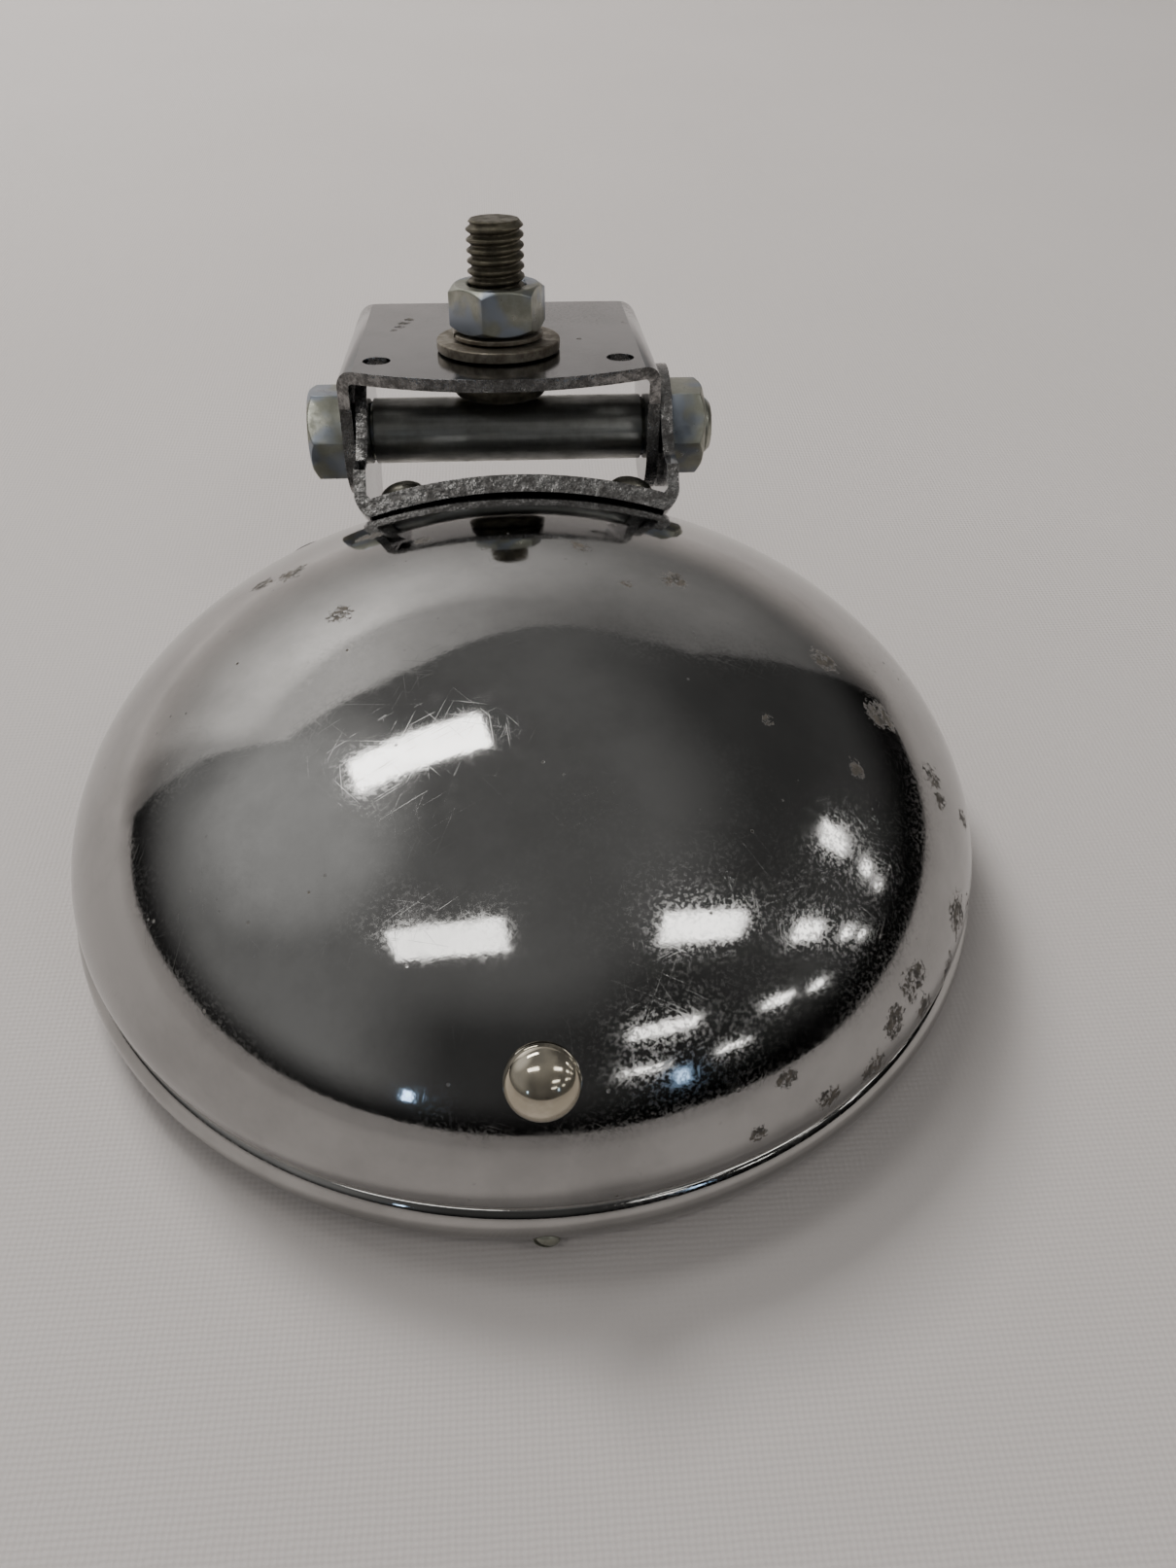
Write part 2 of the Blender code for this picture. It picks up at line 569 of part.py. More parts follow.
# ---- stud bracket, tilts about the pivot --------------------------------
def build_stud_bracket(material, pivot):
    half = BRACKET_WIDTH / 2
    bend = 2.8 * MM
    under = PLATE_TOP - SHEET
    low = -EAR_RADIUS - 2 * MM
    section = [(-half, low)]
    section += arc((-half + bend, PLATE_TOP - bend), bend, math.pi, math.pi / 2, 4)
    section += arc((half - bend, PLATE_TOP - bend), bend, math.pi / 2, 0, 4)
    section += [(half, low), (half - SHEET, low), (half - SHEET, under - 0.8 * MM),
                (half - SHEET - 0.8 * MM, under), (-half + SHEET + 0.8 * MM, under),
                (-half + SHEET, under - 0.8 * MM), (-half + SHEET, low)]
    section = [(x + UPPER_CENTRE_X, z) for x, z in section]
    bracket = finish_mesh("stud_bracket",
                          extrude_along_y(section, PLATE_FRONT_MIDDLE - 1 * MM, PLATE_REAR + 1 * MM),
                          material, parent=pivot)
    world = pivot.matrix_basis
    corner = 4.0 * MM
    front = []
    front_steps = 14
    for k in range(front_steps + 1):
        across = -1 + 2 * k / front_steps
        depth = PLATE_FRONT_SIDE + (PLATE_FRONT_MIDDLE - PLATE_FRONT_SIDE) * (1 - across ** 2)
        front.append((UPPER_CENTRE_X + across * (half + 0.5 * MM), depth))
    rear = arc((UPPER_CENTRE_X + half + 0.01 * MM - corner, PLATE_REAR - corner), corner, 0, math.pi / 2, 5)
    rear += arc((UPPER_CENTRE_X - half - 0.01 * MM + corner, PLATE_REAR - corner), corner,
                math.pi / 2, math.pi, 5)
    outline = front + [(UPPER_CENTRE_X + half + 0.5 * MM, PLATE_REAR - corner - 1 * MM)] + rear
    outline += [(UPPER_CENTRE_X - half - 0.5 * MM, PLATE_REAR - corner - 1 * MM)]
    cut(bracket, extrude_outline(outline, low - 2 * MM, PLATE_TOP + 2 * MM), world, "INTERSECT")
    ear_back = EAR_RADIUS + 0.5 * MM
    side = [(PLATE_FRONT_MIDDLE - 3 * MM, PLATE_TOP + 2 * MM), (PLATE_FRONT_MIDDLE - 3 * MM, under - 2.0 * MM),
            (-EAR_RADIUS, under - 4.5 * MM)]
    side += arc((0, 0), EAR_RADIUS, math.pi, 2 * math.pi, 12)
    flat_cut = under + 0.03 * MM
    side += [(ear_back, 2 * MM), (ear_back + 1.0 * MM, flat_cut - 4 * MM), (ear_back + 4 * MM, flat_cut),
             (PLATE_REAR + 3 * MM, flat_cut), (PLATE_REAR + 3 * MM, PLATE_TOP + 2 * MM)]
    cut(bracket, extrude_along_x(side, -half - 6 * MM, half + 6 * MM), world, "INTERSECT")
    cut(bracket, along_x_cylinder(BOLT_RADIUS + GAP, -half - 6 * MM, half + 6 * MM, SMALL_SEGMENTS), world)
    stud_hole = world @ Matrix.Translation((UPPER_CENTRE_X, 0, 0))
    cut(bracket, cylinder(BOLT_RADIUS + GAP, under - 2 * MM, PLATE_TOP + 2 * MM, SMALL_SEGMENTS), stud_hole)
    for side_sign in (-1, 1):
        small = world @ Matrix.Translation((UPPER_CENTRE_X + side_sign * 20.2 * MM, -6.0 * MM, 0))
        cut(bracket, cylinder(2.3 * MM, under - 2 * MM, PLATE_TOP + 2 * MM, 14), small)


def build_stud_group(stud_material, nut_material, washer_material, pivot):
    """Round-head stud, flat washer, lock washer and nut on the pan axis."""
    pan = make_empty("pan_axis", Matrix.Translation((UPPER_CENTRE_X, 0, 0)), pivot)
    under = PLATE_TOP - SHEET - GAP
    washer_low = PLATE_TOP + GAP
    washer_high = washer_low + 1.7 * MM
    lock_low = washer_high + GAP
    lock_high = lock_low + 0.9 * MM
    nut_low = lock_high + GAP
    nut_high = nut_low + STUD_NUT_HEIGHT - 1.0 * MM
    stud_end = nut_high + STUD_EXPOSED
    head_radius = 9.2 * MM
    head_height = 3.4 * MM
    steps = 5
    head = [(head_radius * math.cos(math.pi / 2 * k / steps), under - head_height * math.sin(math.pi / 2 * k / steps))
            for k in range(steps + 1)]
    profile = [(0, stud_end), (BOLT_RADIUS - 0.8 * MM, stud_end), (BOLT_RADIUS, stud_end - 0.9 * MM),
               (BOLT_RADIUS, under)] + head
    finish_mesh("mount_stud", revolve(profile, 24), stud_material, parent=pan)

    def ring(name, inner, outer, low, high, material):
        edge = 0.25 * MM
        outline = [(inner, high), (outer - edge, high), (outer, high - edge), (outer, low + edge),
                   (outer - edge, low), (inner, low)]
        finish_mesh(name, revolve(outline, 24), material, parent=pan)

    ring("stud_flat_washer", BOLT_RADIUS + GAP, WASHER_RADIUS, washer_low, washer_high, washer_material)
    ring("stud_lock_washer", BOLT_RADIUS + GAP, 7.6 * MM, lock_low, lock_high, washer_material)

    body, cone = chamfered_hex(HEX_CORNER_RADIUS, nut_low, nut_high, STUD_NUT_TURN, True, True)
    nut = finish_mesh("stud_nut", body, nut_material, parent=pan)
    world = pivot.matrix_basis @ pan.matrix_basis
    cut(nut, cone, world, "INTERSECT")
    cut(nut, cylinder(BOLT_RADIUS + GAP, nut_low - 2 * MM, nut_high + 2 * MM, 24), world)


def build():
    clear_scene()
    chrome = make_material("chrome_plate", (0.62, 0.62, 0.63), 0.08, 1.0)
    nickel = make_material("nickel_plate", (0.62, 0.57, 0.47), 0.12, 1.0)
    zinc = make_material("zinc_plate", (0.50, 0.50, 0.42), 0.35, 1.0)
    weathered = make_material("weathered_steel", (0.30, 0.27, 0.21), 0.45, 1.0)
    dark_steel = make_material("dark_steel", (0.16, 0.17, 0.16), 0.30, 1.0)
    spring = make_material("spring_steel", (0.42, 0.42, 0.43), 0.30, 1.0)
    rubber = make_material("black_rubber", (0.03, 0.03, 0.03), 0.75, 0.0)
    glass = make_material("clear_glass", (0.85, 0.90, 0.90), 0.05, 0.0, 0.35)
    silvered = make_material("silvered_glass", (0.80, 0.80, 0.80), 0.06, 1.0)
    tungsten = make_material("tungsten", (0.20, 0.20, 0.21), 0.40, 1.0)

    build_housing_shell(chrome)
    build_bezel(chrome)
    build_bezel_screw(zinc, spring)
    build_sealed_beam(glass, silvered, spring, tungsten)
    build_seal(rubber)
    build_retaining_clips(spring)
    build_plug_button(nickel, spring)
    build_grommet(rubber)
    build_saddle_bracket(chrome)
    build_rivets(dark_steel)
    build_pivot(zinc, zinc, dark_steel)
    pivot_place = Matrix.Translation(saddle_matrix().to_translation())
    pivot = make_empty("tilt_pivot", pivot_place @ Matrix.Rotation(-STUD_TILT, 4, "X"))
    build_stud_bracket(chrome, pivot)
    build_stud_group(weathered, zinc, weathered, pivot)


build()
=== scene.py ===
"""Looks of a round chrome-plated boat lamp on a two-bracket swivel mount.

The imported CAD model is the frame. Visible parts get finer meshes of the same
size, and every part gets a node material. Sizes are in metres.
"""

import json
import math

import bmesh
import bpy
from mathutils import Matrix, Vector


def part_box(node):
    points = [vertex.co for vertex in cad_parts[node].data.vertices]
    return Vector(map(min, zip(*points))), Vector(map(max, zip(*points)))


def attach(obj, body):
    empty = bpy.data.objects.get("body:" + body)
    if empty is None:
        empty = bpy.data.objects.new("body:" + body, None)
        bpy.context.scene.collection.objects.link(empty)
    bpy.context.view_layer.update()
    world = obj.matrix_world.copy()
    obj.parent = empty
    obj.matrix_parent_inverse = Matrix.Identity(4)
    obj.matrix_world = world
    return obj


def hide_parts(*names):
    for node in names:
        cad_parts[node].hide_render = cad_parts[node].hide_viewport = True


MM = 0.001

# ---- the frame ----------------------------------------------------------
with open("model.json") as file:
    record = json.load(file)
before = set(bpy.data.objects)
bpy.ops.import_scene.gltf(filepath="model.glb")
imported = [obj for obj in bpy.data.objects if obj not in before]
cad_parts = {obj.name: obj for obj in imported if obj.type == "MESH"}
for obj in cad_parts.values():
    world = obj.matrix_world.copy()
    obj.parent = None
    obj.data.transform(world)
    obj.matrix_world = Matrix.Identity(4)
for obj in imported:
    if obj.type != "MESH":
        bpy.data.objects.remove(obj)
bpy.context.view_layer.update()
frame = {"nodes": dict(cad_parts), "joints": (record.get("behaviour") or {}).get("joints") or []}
JOINTS = {joint["name"]: joint for joint in frame["joints"]}

DOME_RADIUS = 66.5 * MM
DOME_HEIGHT = 36.3 * MM
DOME_RADIAL_POWER = 2.07
DOME_HEIGHT_POWER = 1.60
SHELL_WALL = 1.0 * MM
BEAD_OUTER_RADIUS = 67.5 * MM
BEAD_UPPER_ROUND = 4.0 * MM
BEAD_LOWER_ROUND = 6.0 * MM
BEAD_DROP = 6.0 * MM
BEZEL_WALL = 1.0 * MM
GAP = 0.3 * MM

BEAM_RADIUS = 56.4 * MM
LENS_RADIUS = 51.0 * MM
LENS_RIM = -5.2 * MM
FLANGE = 2.6 * MM
REFLECTOR_FOCUS = 24.0 * MM
REFLECTOR_VERTEX_Z = 23.8 * MM

SADDLE_TILT = math.radians(42.7)
SHEET = 2.0 * MM
HALF_WIDTH = 26.6 * MM
PIVOT_ABOVE_STRAP = 11.0 * MM
SADDLE_CENTRE_X = 0.3 * MM
UPPER_CENTRE_X = SADDLE_CENTRE_X - SHEET - GAP
EAR_RADIUS = 10.5 * MM
PLATE_TOP = 13.6 * MM
PLATE_UNDER = PLATE_TOP - SHEET
PLATE_REAR = 33.5 * MM
PLATE_FRONT_SIDE = -10.5 * MM
PLATE_FRONT_MIDDLE = -18.0 * MM
STRAP_FRONT = -16.0 * MM
STRAP_REAR = 12.0 * MM
RIVET_HALF_SPACING = 19.3 * MM
RIVET_T = -8.0 * MM

BOLT_RADIUS = 4.7 * MM
THREAD_PITCH = 1.5875 * MM
THREAD_DEPTH = 0.75 * MM
HEX_CORNER_RADIUS = 8.25 * MM
TUBE_RADIUS = 5.5 * MM
WASHER_RADIUS = 10.4 * MM
STUD_EXPOSED = 9.8 * MM
NUT_HEIGHT = 7.2 * MM

PLUG_TILT = math.radians(48.5)
PLUG_AZIMUTH = math.radians(-90)
GROMMET_TILT = math.radians(60)
GROMMET_AZIMUTH = math.radians(125)
BEZEL_SCREW_Z = -7.6 * MM
BEZEL_SCREW_LEAN = math.radians(12)
BEZEL_SLOT_TURN = 1.1
PIVOT_NUT_TURN = math.radians(7)
STUD_NUT_TURN = math.radians(12)

SHELL_LOW, SHELL_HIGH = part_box("housing_shell")
LAMP_CENTRE = Vector(((SHELL_LOW.x + SHELL_HIGH.x) / 2, (SHELL_LOW.y + SHELL_HIGH.y) / 2,
                      SHELL_HIGH.z - DOME_HEIGHT))
PIVOT = Vector(JOINTS["bracket_tilt"]["pos_m"])
STUD_AXIS = Vector(JOINTS["stud_pan"]["axis"])

# steps around a revolved solid
FINE = 256
ROUND = 96
SMALL = 64
EDGE_BEVEL = 0.2 * MM
HEX_BEVEL = 0.22 * MM


# ---- mesh helpers -------------------------------------------------------
def in_mm(points):
    """Tuples given in millimetres, as metres."""
    return [tuple(value * MM for value in point) for point in points]


def new_object(name, data):
    item = bpy.data.objects.new(name, data)
    bpy.context.scene.collection.objects.link(item)
    return item


def mesh_object(name, bm):
    """An object with a bmesh as its mesh, which frees the bmesh."""
    mesh = bpy.data.meshes.new(name)
    bm.to_mesh(mesh)
    bm.free()
    return new_object(name, mesh)


def bake_modifiers(item):
    """Replace an object's mesh by the result of its modifiers."""
    graph = bpy.context.evaluated_depsgraph_get()
    graph.update()
    mesh = bpy.data.meshes.new_from_object(item.evaluated_get(graph), depsgraph=graph)
    old = item.data
    item.modifiers.clear()
    item.data = mesh
    bpy.data.meshes.remove(old)


def make_piece(name, bm, material, matrix=Matrix(), cutters=(), bevel=0.0, sharp=32, flats=()):
    """A mesh object in the row frame.

    cutters is a list of (bmesh, matrix, operation). sharp is the angle in
    degrees from which an edge isn't smoothed. flats names the local axes
    whose faces are level sheet.
    """
    bmesh.ops.remove_doubles(bm, verts=bm.verts, dist=1e-7)
    bmesh.ops.recalc_face_normals(bm, faces=bm.faces)
    item = mesh_object(name, bm)
    item.matrix_world = matrix
    tools = []
    for tool_bm, tool_matrix, operation in cutters:
        bmesh.ops.recalc_face_normals(tool_bm, faces=tool_bm.faces)
        tool = mesh_object(name + "_tool", tool_bm)
        tool.matrix_world = tool_matrix
        modifier = item.modifiers.new("cut", "BOOLEAN")
        modifier.operation = operation
        modifier.solver = "EXACT"
        modifier.object = tool
        tools.append(tool)
    if bevel > 0:
        modifier = item.modifiers.new("edges", "BEVEL")
        modifier.width = bevel
        modifier.segments = 3
        modifier.limit_method = "ANGLE"
        modifier.angle_limit = math.radians(30)
    if item.modifiers:
        bpy.context.view_layer.update()
        bake_modifiers(item)
    for tool in tools:
        bpy.data.objects.remove(tool)
    item.data.shade_smooth()
    item.data.set_sharp_from_angle(angle=math.radians(sharp))
    for face in item.data.polygons:
        if any(abs(face.normal[axis]) > 0.9999 for axis in flats):
            face.use_smooth = False
    item.data.materials.clear()
    item.data.materials.append(material)
    return item


def stands_for(item, body, slot, *nodes):
    """The piece rides on a body and hides CAD nodes; slot is not used."""
    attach(item, body)
    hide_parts(*nodes)


def shear_edges(item, centre_x, ear_test):
    """Give a bracket's cut edges the sheared finish.

    ear_test says if a height is clear of the bend.
    """
    item.data.materials.append(SHEARED)
    for face in item.data.polygons:
        across = abs(face.center.x - centre_x)
        on_end = abs(face.normal.y) > 0.75
        in_ear = across > HALF_WIDTH - SHEET - 0.1 * MM and ear_test(face.center.z)
        if on_end or (in_ear and abs(face.normal.x) < 0.3):
            face.material_index = 1


def revolve(profile, segments):
    """Spin a closed (radius, height) outline about Z into a closed solid."""
    bm = bmesh.new()
    points = [bm.verts.new((radius, 0.0, height)) for radius, height in profile]
    edges = []
    for start, end in zip(points, points[1:] + points[:1]):
        on_axis = start.co.x < 1e-9 and end.co.x < 1e-9
        if not on_axis:
            edges.append(bm.edges.new((start, end)))
    bmesh.ops.spin(bm, geom=points + edges, cent=(0, 0, 0), axis=(0, 0, 1),
                   angle=2 * math.pi, steps=segments, use_merge=True)
    bmesh.ops.remove_doubles(bm, verts=bm.verts, dist=1e-7)
    return bm


def extrude_outline(outline, low, high):
    """Extrude a closed (x, y) outline along Z from low to high."""
    bm = bmesh.new()
    face = bm.faces.new([bm.verts.new((x, y, low)) for x, y in outline])
    result = bmesh.ops.extrude_face_region(bm, geom=[face])
    top = [part for part in result["geom"] if isinstance(part, bmesh.types.BMVert)]
    bmesh.ops.translate(bm, verts=top, vec=(0, 0, high - low))
    bmesh.ops.recalc_face_normals(bm, faces=bm.faces)
    return bm


def loft(rings):
    """Closed tube through rings of (x, y, z) points, capped at both ends."""
    bm = bmesh.new()
    loops = [[bm.verts.new(point) for point in ring] for ring in rings]
    count = len(loops[0])
    for first, second in zip(loops, loops[1:]):
        for i in range(count):
            j = (i + 1) % count
            bm.faces.new((first[i], first[j], second[j], second[i]))
    bm.faces.new(loops[0][::-1])
    bm.faces.new(loops[-1])
    return bm


def cylinder(radius, low, high):
    return revolve([(0, high), (radius, high), (radius, low), (0, low)], SMALL)


def polar(radius, angle, z):
    return (radius * math.cos(angle), radius * math.sin(angle), z)


def arc(centre, radius, start, end, steps):
    """Points on a circular arc, both ends included, angles in radians."""
    points = []
    for k in range(steps + 1):
        angle = start + (end - start) * k / steps
        points.append((centre[0] + radius * math.cos(angle), centre[1] + radius * math.sin(angle)))
    return points


def mirrored(points):
    """The points and then their mirror images in x, last one first."""
    return points + [(-x, y) for x, y in points[::-1]]


def shifted(points, centre_x):
    return [(x + centre_x, y) for x, y in points]


def cap_profile(radius, height, base, steps):
    """(radius, height) points of a rounded head from its top to its edge."""
    turns = [math.pi / 2 * k / steps for k in range(steps + 1)]
    return [(radius * math.sin(turn), base + height * math.cos(turn)) for turn in turns]


def rounded(outline, radius, steps=4):
    """Round every corner of a closed (radius, height) outline by a small arc."""
    result = []
    count = len(outline)
    for k in range(count):
        before = Vector(outline[k - 1])
        corner = Vector(outline[k])
        after = Vector(outline[(k + 1) % count])
        if corner.x < 1e-9:
            result.append(tuple(corner))
            continue
        reach = min(radius, (before - corner).length * 0.45, (after - corner).length * 0.45)
        start = corner + (before - corner).normalized() * reach
        end = corner + (after - corner).normalized() * reach
        for step in range(steps + 1):
            share = step / steps
            point = start * (1 - share) ** 2 + corner * 2 * share * (1 - share) + end * share ** 2
            result.append(tuple(point))
    return result


def hexagon(turn):
    return [polar(HEX_CORNER_RADIUS, turn + k * math.pi / 3, 0)[:2] for k in range(6)]


def extrude_along_y(outline, low, high):
    """Extrude an (x, z) outline along Y."""
    bm = extrude_outline(outline, -high, -low)
    bm.transform(Matrix.Rotation(math.pi / 2, 4, "X"))
    return bm


def extrude_along_x(outline, low, high):
    """Extrude a (y, z) outline along X."""
    bm = extrude_outline(outline, low, high)
    bm.transform(Matrix(((0, 0, 1, 0), (1, 0, 0, 0), (0, 1, 0, 0), (0, 0, 0, 1))))
    return bm


def along_x_cylinder(radius, low, high):
    bm = cylinder(radius, low, high)
    bm.transform(Matrix.Rotation(math.pi / 2, 4, "Y"))
    return bm


# ---- dome geometry ------------------------------------------------------
def dome_height(radius):
    ratio = min(radius / DOME_RADIUS, 1.0) ** DOME_RADIAL_POWER
    return DOME_HEIGHT * (1.0 - ratio) ** (1.0 / DOME_HEIGHT_POWER)


def dome_normal_angle(radius):
    """Angle between the dome's outward normal and the lamp axis."""
    ratio = radius / DOME_RADIUS
    across = DOME_RADIAL_POWER * ratio ** (DOME_RADIAL_POWER - 1) / DOME_RADIUS
    height = dome_height(radius) / DOME_HEIGHT
    along = DOME_HEIGHT_POWER * height ** (DOME_HEIGHT_POWER - 1) / DOME_HEIGHT
    return math.atan2(across, along)


def dome_radius_at(normal_angle):
    low = 0.01 * DOME_RADIUS
    high = 0.9999 * DOME_RADIUS
    for _ in range(60):
        middle = (low + high) / 2
        if dome_normal_angle(middle) < normal_angle:
            low = middle
        else:
            high = middle
    return (low + high) / 2


def dome_frame(normal_angle, azimuth):
    """World matrix at a point of the dome: Z out along the normal."""
    radius = dome_radius_at(normal_angle)
    base = Matrix.Translation(LAMP_CENTRE)
    turn = Matrix.Rotation(azimuth - math.pi / 2, 4, "Z")
    place = Matrix.Translation((0, radius, dome_height(radius)))
    lean = Matrix.Rotation(-normal_angle, 4, "X")
    return base @ turn @ place @ lean


def dome_profile(count, inset):
    """Dome points from the apex to the edge, moved inward along the normal."""
    points = [(0.0, DOME_HEIGHT - inset)]
    for k in range(1, count):
        share = math.sin(math.pi / 2 * k / count)
        radius = DOME_RADIUS * share ** (2 / DOME_RADIAL_POWER)
        angle = dome_normal_angle(radius)
        points.append((radius - inset * math.sin(angle), dome_height(radius) - inset * math.cos(angle)))
    return points


def bead_point(angle, inset=0.0):
    """Point on the bezel's bead; angle 0 is outermost, -90 degrees the bottom."""
    rounding = BEAD_UPPER_ROUND if angle > 0 else BEAD_LOWER_ROUND
    centre_radius = BEAD_OUTER_RADIUS - rounding
    return (centre_radius + (rounding - inset) * math.cos(angle),
            -BEAD_DROP + (rounding - inset) * math.sin(angle))


# ---- node materials -----------------------------------------------------
class Nodes:
    """Short calls for building a node tree."""

    def __init__(self, tree, coordinates="Object"):
        self.tree = tree
        self.coords = self.add("TexCoord").outputs[coordinates]

    def put(self, socket, value):
        if isinstance(value, bpy.types.NodeSocket):
            self.tree.links.new(value, socket)
        elif value is not None:
            socket.default_value = value

    def add(self, kind, **inputs):
        """A new node; underscores in an input's name stand for spaces."""
        node = self.tree.nodes.new("ShaderNode" + kind)
        for name, value in inputs.items():
            self.put(node.inputs[name.replace("_", " ")], value)
        return node

    def math(self, operation, a, b, clamp=False):
        node = self.add("Math")
        node.operation = operation
        node.use_clamp = clamp
        self.put(node.inputs[0], a)
        self.put(node.inputs[1], b)
        return node.outputs[0]

    def plus(self, a, b, clamp=False):
        return self.math("ADD", a, b, clamp)

    def times(self, a, b):
        return self.math("MULTIPLY", a, b)

    def most(self, a, b):
        return self.math("MAXIMUM", a, b)

    def vector_math(self, operation, vector, point):
        """The distance between two vectors or their dot product."""
        node = self.add("VectorMath")
        node.operation = operation
        self.put(node.inputs[0], vector)
        node.inputs[1].default_value = point
        return node.outputs["Value"]

    def split(self):
        return self.add("SeparateXYZ", Vector=self.coords).outputs

    def scaled(self, scale, turn=(0, 0, 0), offset=(0, 0, 0)):
        """Coordinates turned first and then scaled and moved."""
        turned = self.add("Mapping", Vector=self.coords, Rotation=turn)
        return self.add("Mapping", Vector=turned.outputs[0], Scale=scale, Location=offset).outputs[0]

    def noise(self, scale, detail=3.0, roughness=0.5, vector=None):
        place = self.coords if vector is None else vector
        return self.add("TexNoise", Vector=place, Scale=scale, Detail=detail, Roughness=roughness).outputs["Fac"]

    def wave(self, direction):
        """Slightly uneven bands of one set of threads."""
        node = self.add("TexWave", Vector=self.coords, Scale=420.0, Distortion=1.5)
        node.bands_direction = direction
        return node.outputs["Fac"]

    def ramp(self, value, low, high, out_low=0.0, out_high=1.0):
        """Smooth step of value from low to high."""
        node = self.add("MapRange")
        node.interpolation_type = "SMOOTHSTEP"
        self.put(node.inputs["Value"], value)
        for name, number in (("From Min", low), ("From Max", high), ("To Min", out_low), ("To Max", out_high)):
            node.inputs[name].default_value = number
        return node.outputs["Result"]

    def mix(self, factor, a, b):
        """Blend two colours."""
        node = self.add("Mix")
        node.data_type = "RGBA"
        self.put(node.inputs["Factor"], factor)
        for name, colour in (("A", a), ("B", b)):
            self.put(node.inputs[name], colour if isinstance(colour, bpy.types.NodeSocket) else (*colour, 1.0))
        return node.outputs["Result"]

    def bump(self, height, distance, strength=1.0, below=None):
        return self.add("Bump", Strength=strength, Distance=distance, Height=height, Normal=below).outputs["Normal"]

    def near(self, point, radius):
        """1 close to a point and 0 beyond the radius."""
        return self.ramp(self.vector_math("DISTANCE", self.coords, point), radius * 0.25, radius, 1.0, 0.0)

    def scratches(self, turns, length_scale, width_scale, threshold):
        """Fine straight hairlines in several directions across the surface."""
        total = None
        for number, turn in enumerate(turns):
            place = self.scaled((length_scale, width_scale, length_scale), (0, 0, turn),
                                (number * 3.1, number * 1.7, 0))
            line = self.ramp(self.noise(1.0, 2.0, 0.55, place), threshold, threshold + 0.05)
            total = line if total is None else self.most(total, line)
        return total


class Finish(Nodes):
    """A named material whose set() feeds its Principled shader."""

    def __init__(self, name):
        self.material = bpy.data.materials.new(name)
        self.material.use_nodes = True
        super().__init__(self.material.node_tree)
        self.shader = self.tree.nodes["Principled BSDF"]

    def set(self, name, value):
        self.put(self.shader.inputs[name], value)


def chrome_material(name, colour, roughness, haze, clusters=(), speckle=0.5, scratch=1.0):
    """Mirror plate with hairlines, granular haze, pinholes and brown pit clusters."""
    n = Finish(name)
    cloud = n.noise(34.0, 4.0, 0.6)
    grain = n.noise(1900.0, 3.0, 0.65)
    soft = n.noise(260.0, 4.0, 0.6)
    lines = n.scratches((0.25, 0.85, 1.45, 2.0, 2.7), 75.0, 6000.0, 0.675)
    lines = n.times(lines, n.ramp(n.noise(110.0, 3.0, 0.6), 0.46, 0.60))
    hazy = n.times(n.ramp(cloud, 0.36, 0.66), n.ramp(grain, 0.44, 0.60))
    hazy = n.most(hazy, n.times(n.ramp(soft, 0.50, 0.70), 0.35))

    cells = n.add("TexVoronoi", Vector=n.coords, Scale=430.0).outputs["Distance"]
    pin_zone = n.ramp(n.noise(90.0, 3.0, 0.6), 0.64 - 0.12 * speckle, 0.76 - 0.10 * speckle)
    pits = n.times(n.ramp(cells, 0.06, 0.13, 1.0, 0.0), pin_zone)
    if clusters:
        zone = None
        for point, radius in clusters:
            spot = n.near(point, radius)
            zone = spot if zone is None else n.most(zone, spot)
        crumbs = n.noise(1500.0, 6.0, 0.78)
        patches = n.noise(420.0, 4.0, 0.7)
        body = n.plus(n.times(crumbs, 0.62), n.times(patches, 0.38))
        blotch = n.ramp(n.plus(body, n.times(zone, 0.155)), 0.60, 0.65)
        pits = n.most(pits, n.times(n.times(blotch, n.ramp(zone, 0.02, 0.3)), 0.9))
    rust = n.mix(n.ramp(n.noise(700.0, 4.0, 0.7), 0.35, 0.65), (0.020, 0.016, 0.012), (0.095, 0.078, 0.058))
    dull = [channel * 0.80 for channel in colour]
    tone = n.mix(n.ramp(n.noise(55.0, 5.0, 0.65), 0.35, 0.70), colour, dull)
    n.set("Base Color", n.mix(pits, tone, rust))
    n.set("Metallic", n.ramp(pits, 0.0, 1.0, 1.0, 0.2))
    rough = n.plus(n.times(hazy, haze), roughness)
    rough = n.plus(rough, n.times(lines, 0.11 * scratch))
    n.set("Roughness", n.plus(rough, n.times(pits, 0.65), True))
    relief = n.bump(n.noise(30.0, 2.0), 0.05 * MM, 0.5)
    relief = n.bump(n.noise(850.0, 3.0, 0.6), 0.0055 * MM, 0.8, relief)
    relief = n.bump(grain, 0.0022 * MM, 0.8, relief)
    relief = n.bump(n.times(lines, -1.0), 0.0014 * MM * scratch, 0.7, relief)
    n.set("Normal", n.bump(n.times(pits, -1.0), 0.03 * MM, 0.5, relief))
    return n.material


def sheared_material(name):
    """Cut edge of plated sheet: short ribs, dents and dirt in the hollows."""
    n = Finish(name)
    ribs = n.noise(820.0, 3.0, 0.6)
    fine = n.noise(2600.0, 3.0, 0.6)
    dirt = n.ramp(n.noise(520.0, 5.0, 0.7), 0.40, 0.62)
    n.set("Base Color", n.mix(dirt, (0.12, 0.115, 0.11), (0.30, 0.295, 0.29)))
    n.set("Metallic", n.ramp(dirt, 0.0, 1.0, 0.6, 1.0))
    n.set("Roughness", n.ramp(fine, 0.3, 0.7, 0.34, 0.20))
    n.set("Normal", n.bump(fine, 0.02 * MM, 0.5, n.bump(ribs, 0.26 * MM, 0.8)))
    return n.material


